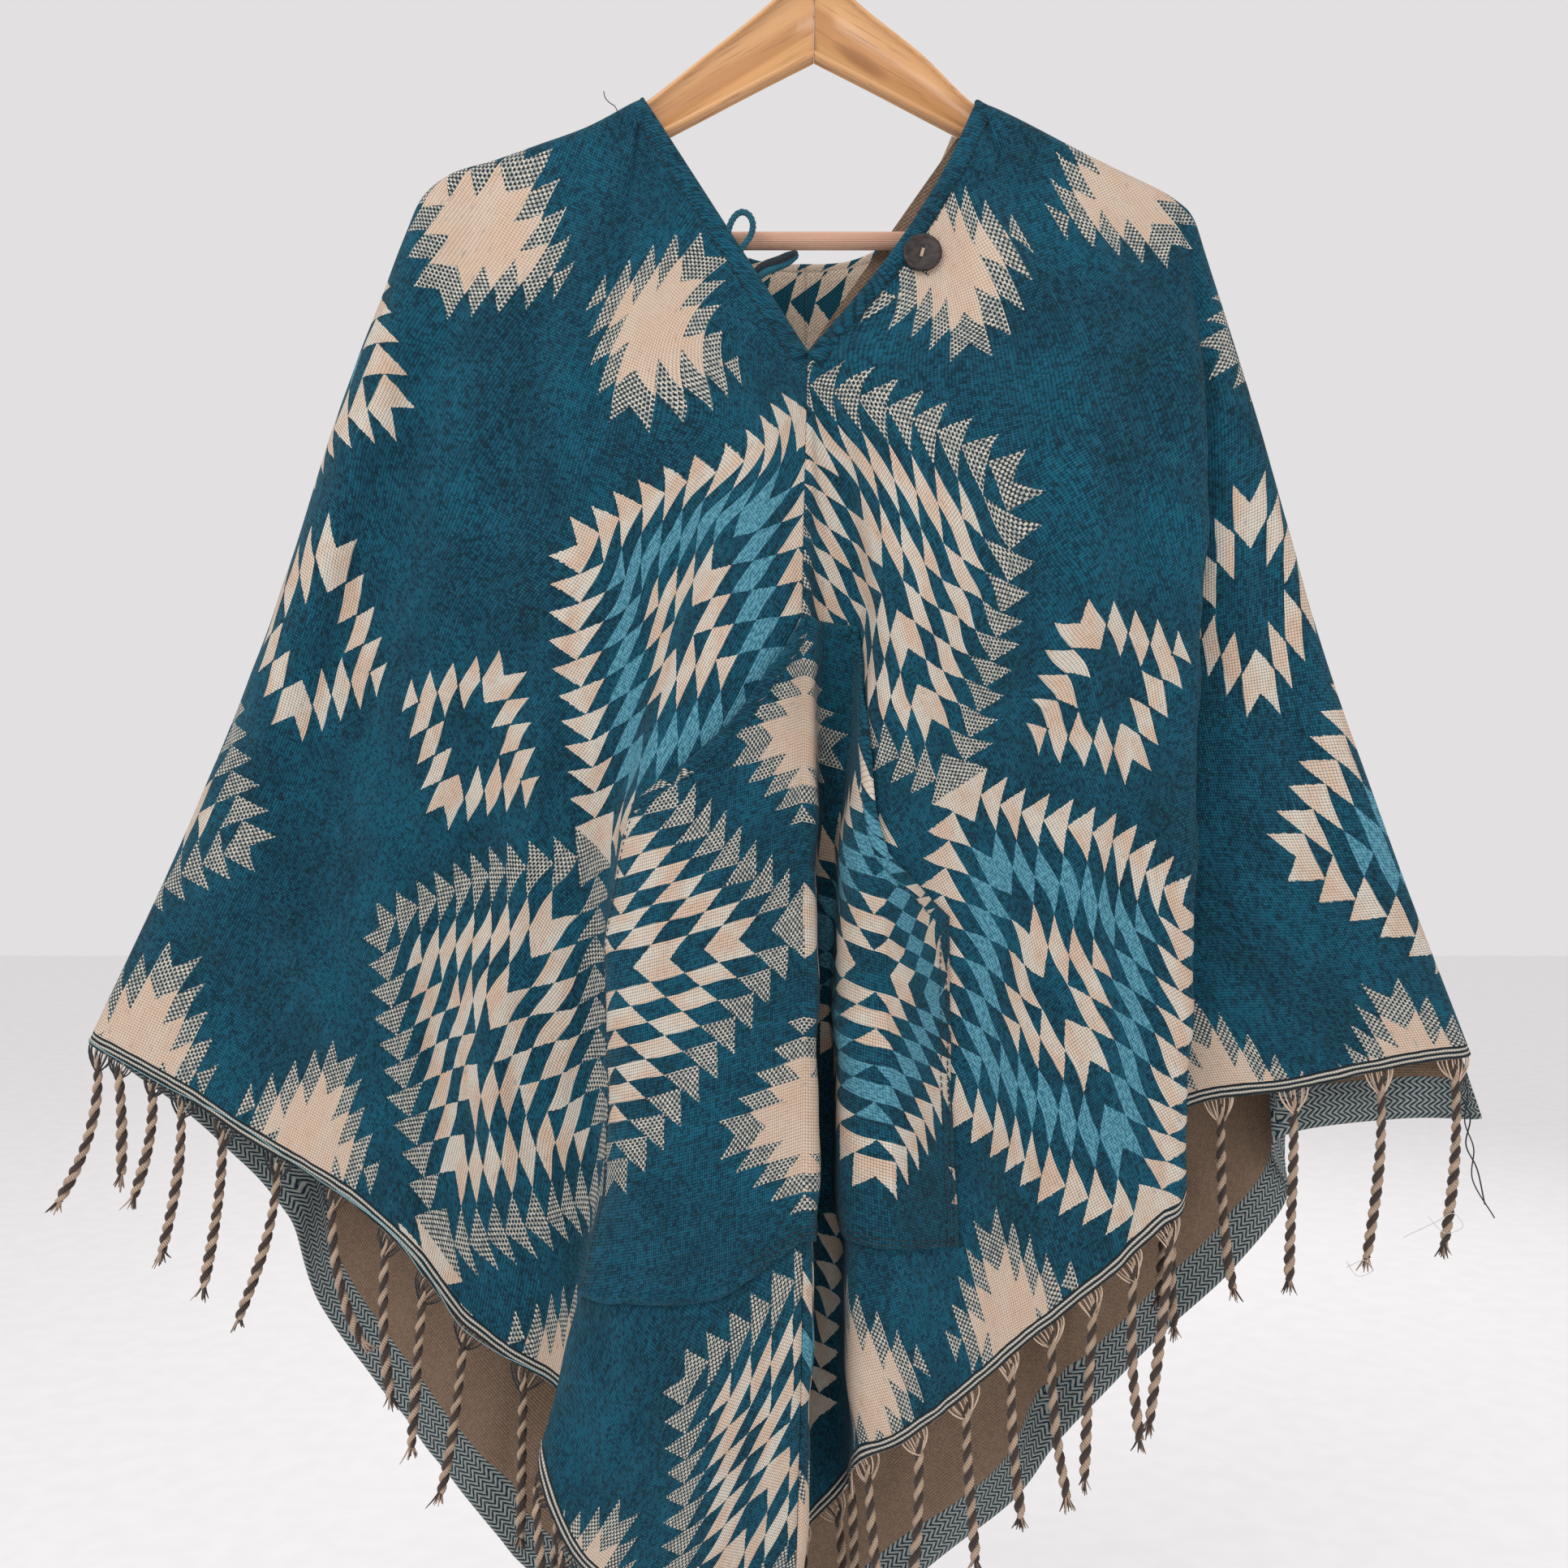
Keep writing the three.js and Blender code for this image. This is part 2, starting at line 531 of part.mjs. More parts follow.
function pocketColumns(rows, { first, top, low, lift }) {
  const start = rows.findIndex((row) => row.line === first);
  const columns = [];
  top.forEach((_, k) => {
    const cells = k + 1 < top.length ? rows[start + k].cells : 1;
    const next = Math.min(k + 1, top.length - 1);
    for (let c = 0; c < cells; c++) {
      const share = c / cells;
      const blend = (from, to) => from * (1 - share) + to * share;
      const level = (heights) => blend(
        heightLevel(rows[start + k], heights[k]), heightLevel(rows[start + next], heights[next]));
      const off = blend(lift[k], lift[next]);
      columns.push({ rows, i: start + k, share, from: level(top), to: level(low), off });
    }
  });
  return columns;
}

function pocketGrid() {
  const columns = [
    ...pocketColumns(FRONT_LEFT, POCKET_LEFT),
    ...pocketColumns(FRONT_RIGHT, POCKET_RIGHT).slice(1),
  ];
  const grid = [];
  for (let r = 0; r <= POCKET_ROWS; r++) {
    grid.push(columns.map(({ rows, i, share, from, to }) => (
      surfacePoint(rows, -1, i, share, from + (to - from) * r / POCKET_ROWS))));
  }
  const normals = gridNormals(grid, -1);
  grid.forEach((row, r) => row.forEach((point, c) => {
    const fromLow = Math.min(1, (POCKET_ROWS - r) / 2);
    point.addScaledVector(normals[r][c], WALL + POCKET_CLEAR + columns[c].off * fromLow);
  }));
  return { grid, normals: gridNormals(grid, -1) };
}

const pocket = pocketGrid();
addMesh('pocket', wallGeometry(pocket.grid, pocket.normals), clothTeal);

// Hood: a pouch whose outer layer starts at the rim, turns at the pouch's edge and
// comes back up as an inner layer to the neck seam

// The point of a list that is nearest to a place, as seen from the front.
function nearestTo(points, x, z) {
  const away = (point) => Math.hypot(point.x - x, point.z - z);
  return points.reduce((best, point) => (away(point) < away(best) ? point : best));
}

const backPoints = [backLeft, backRight].map(({ grid }) => grid.flat());

// Depth of the back panels near a place.
function backDepth(x, z) {
  return nearestTo(x < CENTRE_X + BACK_SEAM_LEAN ? backPoints[0] : backPoints[1], x, z).y;
}

// The back behind the hood as a smooth plain slope that clears the panel everywhere.
function hoodSeat(x, z) {
  const steps = [-HOOD_SEAT_REACH, 0, HOOD_SEAT_REACH];
  return Math.max(0, ...steps.flatMap((dx) => steps.map((dz) => backDepth(x + dx, z + dz))));
}

// One column of the hood: down the outer layer, round the fold, up the inner layer.
function hoodColumn(hand, s) {
  const [cornerX, cornerZ] = hand < 0 ? SHOULDER_LEFT[0] : SHOULDER_RIGHT[0];
  const turn = HOOD.sweep * s;
  const rim = {
    x: CENTRE_X + hand * (cornerX - HOOD.rimInset) * s,
    z: HOOD.rimLow + (HOOD.rimHigh - HOOD.rimLow) * s ** 3,
  };
  const edge = {
    x: CENTRE_X + hand * HOOD.halfWidth * Math.sin(turn),
    z: HOOD.middle - HOOD.depth * Math.cos(turn),
  };
  const neckLow = BACK_NECK_LOW - HOOD.neckDrop;
  const neck = {
    x: CENTRE_X + hand * (cornerX - HOOD.neckInset) * s,
    z: neckLow + (cornerZ - HOOD.cornerDrop - neckLow) * s,
  };
  const at = (from, to, share, lift) => {
    const x = from.x + (to.x - from.x) * share;
    const z = from.z + (to.z - from.z) * share;
    return new THREE.Vector3(x, hoodSeat(x, z) + lift, z);
  };
  const open = HOOD.open * (1 - 0.8 * s * s);
  const column = [];
  for (let k = 0; k <= HOOD.outerRows; k++) {
    const share = k / HOOD.outerRows;
    column.push(at(rim, edge, share, HOOD.fold * 2 + open * Math.sqrt(Math.max(0, 1 - share ** 2.2))));
  }
  const bend = at(neck, edge, 1.015, 0);
  column.push(new THREE.Vector3(bend.x, hoodSeat(edge.x, edge.z) + HOOD.fold * 1.4, bend.z));
  for (let k = 0; k <= HOOD.innerRows; k++) {
    column.push(at(edge, neck, k / HOOD.innerRows, WALL + SEAM_GAP + HOOD.clear));
  }
  return column;
}

function hoodGrid(hand) {
  const columns = Array.from({ length: HOOD.columns + 1 }, (_, c) => hoodColumn(hand, c / HOOD.columns));
  const grid = columns[0].map((_, r) => columns.map((column) => column[r]));
  const normals = gridNormals(grid, hand < 0 ? 1 : -1);
  grid.forEach((row, r) => {
    normals[r][0].setX(0).normalize();
    row[0].x += hand * SEAM_GAP / 2;
  });
  return { grid, normals };
}

const hoodLeft = hoodGrid(-1);
const hoodRight = hoodGrid(1);
addMesh('hood_left', wallGeometry(hoodLeft.grid, hoodLeft.normals), clothTeal);
addMesh('hood_right', wallGeometry(hoodRight.grid, hoodRight.normals), clothTeal);

// Fringe: a narrow strip just below the hem, with the tassels fused into it

function fringeGeometry(panel, tassels, fromSleeve) {
  const { grid, normals } = panel;
  const last = grid.length - 1;
  const order = grid[0].map((_, c) => (fromSleeve ? c : grid[0].length - 1 - c));
  const strip = [0, 1].map(() => []);
  const stripNormals = [[], []];
  order.forEach((c, k) => {
    const hem = grid[last][c];
    const ahead = grid[last][order[Math.min(k + 1, order.length - 1)]].clone().sub(hem).normalize();
    const behind = hem.clone().sub(grid[last][order[Math.max(k - 1, 0)]]).normalize();
    const down = ahead.clone().add(behind).cross(normals[last][c]).normalize();
    const square = (k > 0 ? behind : ahead).clone().cross(normals[last][c]).normalize();
    const mitre = Math.min(2.5, 1 / Math.max(0.1, down.dot(square)));
    down.multiplyScalar((down.z > 0 ? -1 : 1) * mitre);
    strip[0].push(hem.clone().addScaledVector(down, STRIP_GAP));
    strip[1].push(hem.clone().addScaledVector(down, STRIP_GAP + FRINGE_STRIP));
    stripNormals[0].push(normals[last][c]);
    stripNormals[1].push(normals[last][c]);
  });
  let solid = asSolid(wallGeometry(strip, stripNormals));
  const lengths = [0];
  for (let k = 1; k < order.length; k++) {
    lengths.push(lengths[k - 1] + strip[1][k].distanceTo(strip[1][k - 1]));
  }
  tassels.forEach(({ at, lean, drop }) => {
    const target = at * lengths[lengths.length - 1];
    const k = Math.min(order.length - 2, lengths.findIndex((_, j) => lengths[j + 1] >= target));
    const share = (target - lengths[k]) / (lengths[k + 1] - lengths[k]);
    const root = strip[1][k].clone().lerp(strip[1][k + 1], share);
    const points = [0, 0.16, 0.45, 0.75, 1].map((t) => {
      const sway = lean * t * t + 2 * Math.sin(3 * t + 7 * at);
      return new THREE.Vector3(root.x + sway - 2 * Math.sin(7 * at), root.y, root.z + 1.6 - drop * t);
    });
    const radii = [0.9, STRAND_RADIUS * 0.8, STRAND_RADIUS, STRAND_RADIUS, STRAND_RADIUS * 1.2];
    solid = solid.add(asSolid(tubeGeometry(points, radii, 4)));
  });
  return asGeometry(solid);
}

addMesh('fringe_left', fringeGeometry(frontLeft, TASSELS_LEFT, true), tasselYarn);
addMesh('fringe_right', fringeGeometry(frontRight, TASSELS_RIGHT, false), tasselYarn);

// Hanger: two flat arms mitred in the middle, a dowel between their ends and a hook

// The outline of one arm, from the mitre along the top to the tip and back below.
function armOutline(hand) {
  const table = hand < 0 ? SHOULDER_LEFT : SHOULDER_RIGHT;
  const mitre = SEAM_GAP / 2;
  const tip = table[table.length - 1][0];
  const shoulder = table.slice(0, 3).map(([out, z]) => [out, z - ARM_TOP_CLEAR]);
  const end = ARM_END.map(([inset, z]) => [tip - inset, z]);
  end[0][1] = table[4][1] - ARM_TIP_CLEAR;
  const top = [[mitre, ARM_PEAK_Z], ...ARM_TOP, ...shoulder];
  const low = [...ARM_LOW, [mitre, ARM_PEAK_UNDER_Z]];
  return [...top, ...end, ...low].map(([out, z]) => new THREE.Vector2(hand * out, z));
}

// An arm has its edges eased over, so that its top is round where the cloth lies on it.
function armGeometry(hand) {
  const geometry = new THREE.ExtrudeGeometry(new THREE.Shape(armOutline(hand)), {
    depth: ARM_THICK - 2 * ARM_EASE,
    bevelEnabled: true,
    bevelThickness: ARM_EASE,
    bevelSize: ARM_EASE,
    bevelOffset: -ARM_EASE,
    bevelSegments: 3,
    steps: 1,
  });
  geometry.rotateX(Math.PI / 2);
  geometry.translate(0, ARM_THICK / 2 - ARM_EASE, 0);
  return geometry;
}

function boredArm(hand) {
  const radius = HOOK_WIRE + SEAM_GAP;
  const bore = new THREE.CylinderGeometry(radius, radius, 2 * HOOK_BORE_DEPTH, 12);
  bore.rotateX(Math.PI / 2);
  bore.translate(0, 0, ARM_PEAK_Z);
  return asGeometry(asSolid(armGeometry(hand)).subtract(asSolid(bore)));
}

addMesh('hanger_arm_left', boredArm(-1), paleWood);
addMesh('hanger_arm_right', boredArm(1), paleWood);

const bar = new THREE.CylinderGeometry(BAR_RADIUS, BAR_RADIUS, 2 * BAR_HALF, 18);
bar.rotateZ(Math.PI / 2);
bar.translate(0, 0, BAR_Z);
addMesh('hanger_bar', bar, dowelWood);

// The hook: a straight shank in the bore, a bend, and most of a circle whose inside
// top is the origin.
function hookGeometry() {
  const radius = HOOK_INSIDE + HOOK_WIRE;
  const centre = -HOOK_INSIDE;
  const shank = [-HOOK_SHANK_END, 0, HOOK_SHANK_OUT].map((rise) => [0, ARM_PEAK_Z + rise]);
  const points = [...shank, HOOK_BEND].map(([x, z]) => new THREE.Vector3(x, 0, z));
  for (let angle = HOOK_ARC.from; angle <= HOOK_ARC.to; angle += HOOK_ARC.step) {
    const turn = THREE.MathUtils.degToRad(angle);
    points.push(new THREE.Vector3(radius * Math.cos(turn), 0, centre + radius * Math.sin(turn)));
  }
  return tubeGeometry(points, points.map(() => HOOK_WIRE), 8);
}

addMesh('hanger_hook', hookGeometry(), steel);

// Button, its loop and the loop's tail

// The middle surface of the right front as a close list of points.
const frontPoints = FRONT_RIGHT.slice(1).flatMap((_, i) => (
  SEAT_SHARES.flatMap((share) => SEAT_LEVELS.map((v) => surfacePoint(FRONT_RIGHT, -1, i, share, v)))));

function buttonGeometry() {
  const half = BUTTON_THICK / 2;
  const rim = BUTTON_RADIUS;
  const back = [[0, -half], [rim - 1.2, -half], [rim, -half + 0.9]];
  const raised = [[rim, half - 1], [rim - 0.9, half], [rim - 2.4, half]];
  const dish = [[rim - 3.6, half - 0.8], [0, half - 0.8]];
  const profile = [...back, ...raised, ...dish].map(([r, h]) => new THREE.Vector2(r, h));
  const slot = new THREE.BoxGeometry(BUTTON_SLOT.wide, 3 * BUTTON_THICK, BUTTON_SLOT.high);
  const geometry = asGeometry(asSolid(new THREE.LatheGeometry(profile, 32)).subtract(asSolid(slot)));
  geometry.rotateX(Math.PI);
  return geometry;
}

const seatAt = (out, rise) => nearestTo(frontPoints, BUTTON_AT.x + out, BUTTON_AT.z + rise);
const seat = seatAt(0, 0);
const seatLow = seatAt(0, -BUTTON_RADIUS);
const seatHigh = seatAt(0, BUTTON_RADIUS);
const seatOut = seatAt(BUTTON_RADIUS, 0);
const buttonTilt = Math.atan2(seatHigh.y - seatLow.y, seatHigh.z - seatLow.z);
const buttonTurn = Math.atan2(seatOut.y - seat.y, seatOut.x - seat.x);
const button = buttonGeometry();
button.rotateX(-buttonTilt);
button.rotateZ(buttonTurn);
button.translate(seat.x, seat.y - WALL / 2 - BUTTON_THICK / 2 - BUTTON_CLEAR, seat.z);
addMesh('button', button, buttonHorn);

// The loop is a closed eye of cord whose foot is at the left neck edge.
const loop = new THREE.TorusGeometry(LOOP_RADIUS, LOOP_CORD, 8, 20);
loop.scale(LOOP_SHAPE.wide, LOOP_SHAPE.high, 1);
loop.rotateX(Math.PI / 2);
loop.translate(LOOP_AT.x, LOOP_AT.y, LOOP_AT.z);
addMesh('button_loop', loop, clothTeal);

const tail = TAIL_ROUTE.map(([x, z]) => new THREE.Vector3(x, LOOP_AT.y + TAIL_BEHIND, z));
addMesh('button_loop_tail', tubeGeometry(tail, TAIL_RADII, 6, up), clothTeal);

export default poncho;
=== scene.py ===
# %% [markdown]
# A hooded poncho of woven blanket cloth on a wooden hanger.
# The packed model gives the frame: where each panel hangs, how big it is and what
# carries it. This file gives the looks: fine cloth, its woven pattern, the fringe,
# the stitching, the wood and the light. Lengths in the tables are millimetres, as a
# tailor would write them, and MM turns them into Blender's metres.

# %% Load the frame
import math

import bpy
import numpy as np
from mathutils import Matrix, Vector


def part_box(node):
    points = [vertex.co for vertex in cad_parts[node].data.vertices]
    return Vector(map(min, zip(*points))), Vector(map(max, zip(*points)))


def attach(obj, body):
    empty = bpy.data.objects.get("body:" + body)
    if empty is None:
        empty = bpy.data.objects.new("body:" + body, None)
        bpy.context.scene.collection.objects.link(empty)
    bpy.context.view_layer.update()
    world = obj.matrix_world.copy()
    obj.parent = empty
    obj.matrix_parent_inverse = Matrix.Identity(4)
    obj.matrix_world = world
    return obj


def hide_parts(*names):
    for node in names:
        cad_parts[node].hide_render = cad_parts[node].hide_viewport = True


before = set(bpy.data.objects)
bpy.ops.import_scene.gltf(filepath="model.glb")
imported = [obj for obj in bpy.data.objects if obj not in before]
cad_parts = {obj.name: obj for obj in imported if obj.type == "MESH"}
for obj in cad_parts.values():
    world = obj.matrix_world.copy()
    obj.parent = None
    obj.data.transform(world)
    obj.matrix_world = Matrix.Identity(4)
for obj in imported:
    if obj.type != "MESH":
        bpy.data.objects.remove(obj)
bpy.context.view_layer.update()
MM = 0.001

# %% [markdown]
# The body of the poncho is four panels, two in front and two behind. Each hangs in
# folds from the shoulder and the neck. A fold keeps its place down the cloth, so a
# panel is described by named lines that run from top to hem. The part's source uses
# the same lines, and here they carry a much finer surface, so that the cloth lies
# where the frame has it. Left and right are as seen from the front.

# %% Shoulders and neck
SHOULDER_LEFT = [(99.7, -146.4), (132, -163), (184, -181.5), (207, -188.5), (221, -198), (228, -206)]
SHOULDER_RIGHT = [(94.6, -147.8), (134, -167.5), (181, -190), (203, -201), (213, -208), (219, -216)]
FRONT_NECK_LOW = -298
BACK_NECK_LOW = -288
RIGHT_NECK_BOW = 11
CENTRE = -4
SHOULDER_ROLL = 9
HALF_SEAM = 0.15
print("shoulders", SHOULDER_LEFT[-1], SHOULDER_RIGHT[-1])

# %% [markdown]
# Each row of a table is one line of the cloth: its name, the height of the hem under
# it, then how far it lies to the side and how far it stands forward (negative) or back
# at five even levels from top to hem.

# %% Lines of the front
FRONT_LEFT = [
    ("sleeve_edge", -689, (-228, -274, -313, -362, -418), (0, 0, 0, 0, 0)),
    ("sleeve_roll", -690, (-227, -272, -311, -360, -416), (-3, -5, -6, -5, -3)),
    ("sleeve_turn", -695, (-221, -263, -302, -350, -404), (-7, -15, -18, -16, -8)),
    ("sleeve_front", -712, (-207, -248, -284, -327, -369), (-8.9, -20, -25, -22, -11)),
    ("sleeve_trough", -740, (-184, -216, -246, -285, -324), (-8.9, -15, -17, -17, -15)),
    ("breast", -775, (-158, -182, -205, -234, -262), (-8.9, -21, -28, -29, -22)),
    ("breast_low", -803, (-130, -152, -174, -202, -229), (-8.9, -21, -25, -24, -26)),
    ("neck_corner", -842, (-99.7, -122, -146, -174, -200), (-8.9, -23, -31, -33, -22)),
    ("neck_roll", -849, (-98.8, -119, -142, -168, -192), (-6.6, -23, -30, -32, -22)),
    ("neck_side", -861, (-96, -113, -134, -156, -176), (-8.8, -23, -30, -31, -22)),
    ("ridge_foot", -883, (-40, -70, -112, -118, -142), (-16, -30, -36, -36, -27)),
    ("ridge_left", -906, (-20, -57, -106, -111, -149), (-19, -42, -62, -66, -60)),
    ("ridge_crest", -955, (-14, -44, -93, -98, -128), (-20, -49, -72, -76, -67)),
    ("ridge_middle", -992, (-10, -25, -50, -52, -62), (-20.5, -47, -75, -83, -75)),
    ("centre_seam", -1013, (-4, -8, -8, -8, -13), (-21, -42, -71, -81, -80)),
]
FRONT_RIGHT = [
    ("centre_seam", -1013, (-4, -8, -8, -8, -13), (-21, -42, -71, -81, -80)),
    ("valley_lip", -1010, (-2.5, -4.5, -4, -4, -9), (-21, -40, -68, -78, -76)),
    ("valley_left", -968, (0, 2, 0, 0, -6), (-21, -25, -18, -14, -13)),
    ("valley_right", -942, (4, 24, 12, 13, 17), (-21, -24, -16, -12, -12)),
    ("ridge_left", -905, (9, 35, 20, 19, 24), (-21, -42, -58, -62, -60)),
    ("ridge_crest", -894, (16, 50, 38, 40, 46), (-21, -50, -68, -70, -62)),
    ("pocket_side", -871, (34, 76, 71, 72, 82), (-20, -47, -59, -61, -53)),
    ("breast", -834, (64, 112, 118, 122, 132), (-15, -39, -48, -50, -44)),
    ("neck_side", -815, (91, 137, 146, 150, 157), (-8.8, -35, -45, -48, -43)),
    ("neck_roll", -806, (93.8, 145, 157, 161, 168), (-6.6, -33, -43, -46, -43)),
    ("neck_corner", -799, (94.6, 150, 163, 167, 175), (-8.9, -31, -42, -45, -42)),
    ("fold_inside", -783, (170, 202, 198, 196, 193), (-8.9, -27, -39, -43, -42)),
    ("fold_edge", -777, (202, 220, 212, 208, 202), (-8.9, -22, -34, -39, -39)),
    ("fold_recess", -730, (210, 224, 214, 211, 206), (-8.2, -9, -9, -9, -10)),
    ("sleeve_front", -714, (214, 236, 246, 264, 277), (-7.6, -12, -14, -14, -9)),
    ("sleeve_turn", -700, (217, 249, 277, 312, 346), (-5.5, -9, -11, -11, -7)),
    ("sleeve_roll", -697, (218.4, 255.5, 288.5, 330.5, 376), (-2.5, -4, -5, -5, -3)),
    ("sleeve_edge", -696, (219, 257, 290.5, 332.5, 378.5), (0, 0, 0, 0, 0)),
]
print("front lines", len(FRONT_LEFT), len(FRONT_RIGHT))

# %% Lines of the back
BACK_LEFT = [
    ("sleeve_edge", -690, (-228, -274, -313, -362, -418), (0, 0, 0, 0, 0)),
    ("sleeve_roll", -694, (-227, -272, -311, -360, -415), (3, 5, 5, 5, 3)),
    ("sleeve_turn", -706, (-221, -262, -301, -348, -400), (7, 11, 13, 12, 9)),
    ("sleeve_back", -742, (-207, -246, -282, -322, -356), (8.9, 21, 26, 22, 14)),
    ("sleeve_fold", -796, (-184, -222, -256, -288, -310), (8.9, 16, 19, 22, 22)),
    ("blade", -850, (-160, -194, -226, -262, -298), (8.9, 22, 33, 39, 38)),
    ("blade_fold", -924, (-130, -158, -186, -217, -246), (8.9, 24, 30, 34, 43)),
    ("neck_corner", -982, (-99.7, -122, -147, -172, -196), (8.9, 20, 30, 36, 35)),
    ("neck_roll", -993, (-98.8, -117, -141, -166, -188), (6.6, 19, 28, 37, 37)),
    ("neck_side", -1010, (-96, -110, -132, -155, -176), (8.8, 18, 26, 38, 40)),
    ("spine_fold", -1042, (-66, -84, -102, -120, -138), (9.5, 18, 26, 42, 48)),
    ("spine_trough", -1074, (-34, -48, -60, -70, -80), (10.5, 17, 20, 24, 33)),
    ("centre_seam", -1096, (-4, -8, -12, -16, -20), (12, 18, 24, 38, 46)),
]
BACK_RIGHT = [
    ("centre_seam", -1096, (-4, -8, -12, -16, -20), (12, 18, 24, 38, 46)),
    ("spine_trough", -1016, (30, 40, 47, 53, 59), (10.5, 17, 20, 25, 32)),
    ("spine_fold", -972, (62, 80, 96, 110, 124), (9.5, 18, 26, 40, 46)),
    ("neck_side", -940, (91, 104, 120, 134, 145), (8.8, 18, 27, 37, 41)),
    ("neck_roll", -928, (93.8, 112, 129, 143, 154), (6.6, 19, 29, 36, 38)),
    ("neck_corner", -919, (94.6, 116, 134, 149, 161), (8.9, 20, 30, 34, 36)),
    ("blade_fold", -870, (130, 158, 179, 198, 214), (8.9, 24, 31, 35, 43)),
    ("blade", -831, (162, 192, 216, 237, 254), (8.9, 22, 31, 37, 39)),
    ("fold_edge", -786, (192, 220, 246, 270, 285), (8.9, 18, 26, 32, 35)),
    ("fold_recess", -750, (206, 231, 252, 268, 270), (8.8, 11, 13, 14, 14)),
    ("sleeve_turn", -735, (215, 248, 277, 314, 340), (6.5, 10, 13, 12, 9)),
    ("sleeve_roll", -734, (218.4, 257.5, 293.5, 339.5, 383), (2.5, 4, 5, 5, 3)),
    ("sleeve_edge", -733, (219, 259.5, 295.5, 341.5, 385.5), (0, 0, 0, 0, 0)),
]
print("back lines", len(BACK_LEFT), len(BACK_RIGHT))

# %% [markdown]
# A surface through the lines is a function of two numbers: u counts the lines and v
# runs from 0 at the top to 1 at the hem. Worked out with numpy, a whole grid of points
# comes from a few array sums, with no loop over points.

# %% From a table to arrays
FRONT, BACK = -1, 1
HANDS = ((-1, "left"), (1, "right"))


def panel_lines(rows, side):
    """The table as arrays, with the start of each line on the shoulder or the neck.

    A line that starts beyond the neck corner starts on the shoulder, at the height of
    the shoulder line there. One inside it starts on the neck edge, which runs straight
    from the corner to the low point, moved sideways by bow times the sine of its share.
    """
    x = np.array([row[2] for row in rows], dtype=float)
    y = np.array([row[3] for row in rows], dtype=float)
    start = x[:, 0]
    left = start.min() < -50
    shoulder = np.array(SHOULDER_LEFT if left else SHOULDER_RIGHT, dtype=float)
    corner = -shoulder[0, 0] if left else shoulder[0, 0]
    low = FRONT_NECK_LOW if side == FRONT else BACK_NECK_LOW
    bow = RIGHT_NECK_BOW if side == FRONT and not left else 0
    on_shoulder = np.abs(start) >= abs(corner) - 1e-6
    share = np.clip((corner - start) / (corner - CENTRE), 0, 1)
    on_neck = shoulder[0, 1] + share * (low - shoulder[0, 1])
    on_top = np.interp(np.abs(start), shoulder[:, 0], shoulder[:, 1])
    x[:, 0] = np.where(on_shoulder, start, start + bow * np.sin(np.pi * share))
    return {
        "x": x, "y": y, "side": side, "left": left, "on_shoulder": on_shoulder,
        "top": np.where(on_shoulder, on_top, on_neck),
        "hem": np.array([row[1] for row in rows], dtype=float),
        "names": [row[0] for row in rows],
    }


front_left = panel_lines(FRONT_LEFT, FRONT)
front_right = panel_lines(FRONT_RIGHT, FRONT)
back_left = panel_lines(BACK_LEFT, BACK)
back_right = panel_lines(BACK_RIGHT, BACK)
print("neck edge of the front, left", np.round(front_left["top"][7:], 1).tolist())

# %% Points of the surface


def cubic(a, b, c, d, s):
    """From b to c as s goes from 0 to 1, with slopes of half the step from a to c and
    from b to d."""
    return b + s / 2 * ((c - a) + s * ((2 * a - 5 * b + 4 * c - d) + s * (3 * (b - c) + d - a)))


def along_levels(values, v):
    """A smooth curve through five values at even levels."""
    before = 2 * values[..., :1] - values[..., 1:2]
    after = 2 * values[..., -1:] - values[..., -2:-1]
    padded = np.concatenate([before, values, after], axis=-1)
    step = np.clip(np.floor(v * 4).astype(int), 0, 3)
    s = v * 4 - step
    return cubic(*(np.take_along_axis(padded, (step + k)[..., None], -1)[..., 0] for k in range(4)), s)


def keep_apart(y, side):
    """Front and back stay on their own sides of the fold at the sleeve and shoulder."""
    return np.minimum(y, -HALF_SEAM) if side == FRONT else np.maximum(y, HALF_SEAM)


def line_point(panel, k, v):
    """The point at level v on line k. The height falls evenly from top to hem. On the
    shoulder, depth grows as a quarter circle over the first millimetres of fall."""
    top, hem = panel["top"][k], panel["hem"][k]
    z = top + (hem - top) * v
    x = along_levels(panel["x"][k], v)
    y = along_levels(panel["y"][k], v)
    fallen = np.minimum(1, (top - z) / SHOULDER_ROLL)
    y = np.where(panel["on_shoulder"][k], y * np.sqrt(1 - (1 - fallen) ** 2), y)
    return np.stack([x, keep_apart(y, panel["side"]), z], axis=-1)


def surface(panel, u, v):
    """Points between the lines: a curve through four neighbouring line points whose
    knots are spaced by the root of the distances, so a tight fold beside a wide one
    doesn't swing out. Each point mixes its neighbours in three rounds."""
    last = len(panel["hem"]) - 1
    i = np.clip(np.floor(u).astype(int), 0, last - 1)
    p1, p2 = line_point(panel, i, v), line_point(panel, i + 1, v)
    p0 = np.where((i > 0)[..., None], line_point(panel, np.maximum(i - 1, 0), v), 2 * p1 - p2)
    after = line_point(panel, np.minimum(i + 2, last), v)
    p3 = np.where((i + 2 <= last)[..., None], after, 2 * p2 - p1)

    def knot(a, b):
        return np.sqrt(np.maximum(np.linalg.norm(b - a, axis=-1, keepdims=True), 0.01))

    k1 = knot(p0, p1)
    k2 = k1 + knot(p1, p2)
    k3 = k2 + knot(p2, p3)
    t = k1 + (u - i)[..., None] * (k2 - k1)

    def mix(a, b, start, end):
        return a * (end - t) / (end - start) + b * (t - start) / (end - start)

    a1, a2, a3 = mix(p0, p1, 0, k1), mix(p1, p2, k1, k2), mix(p2, p3, k2, k3)
    points = mix(mix(a1, a2, 0, k2), mix(a2, a3, k1, k3), k1, k2)
    points[..., 1] = keep_apart(points[..., 1], panel["side"])
    return points


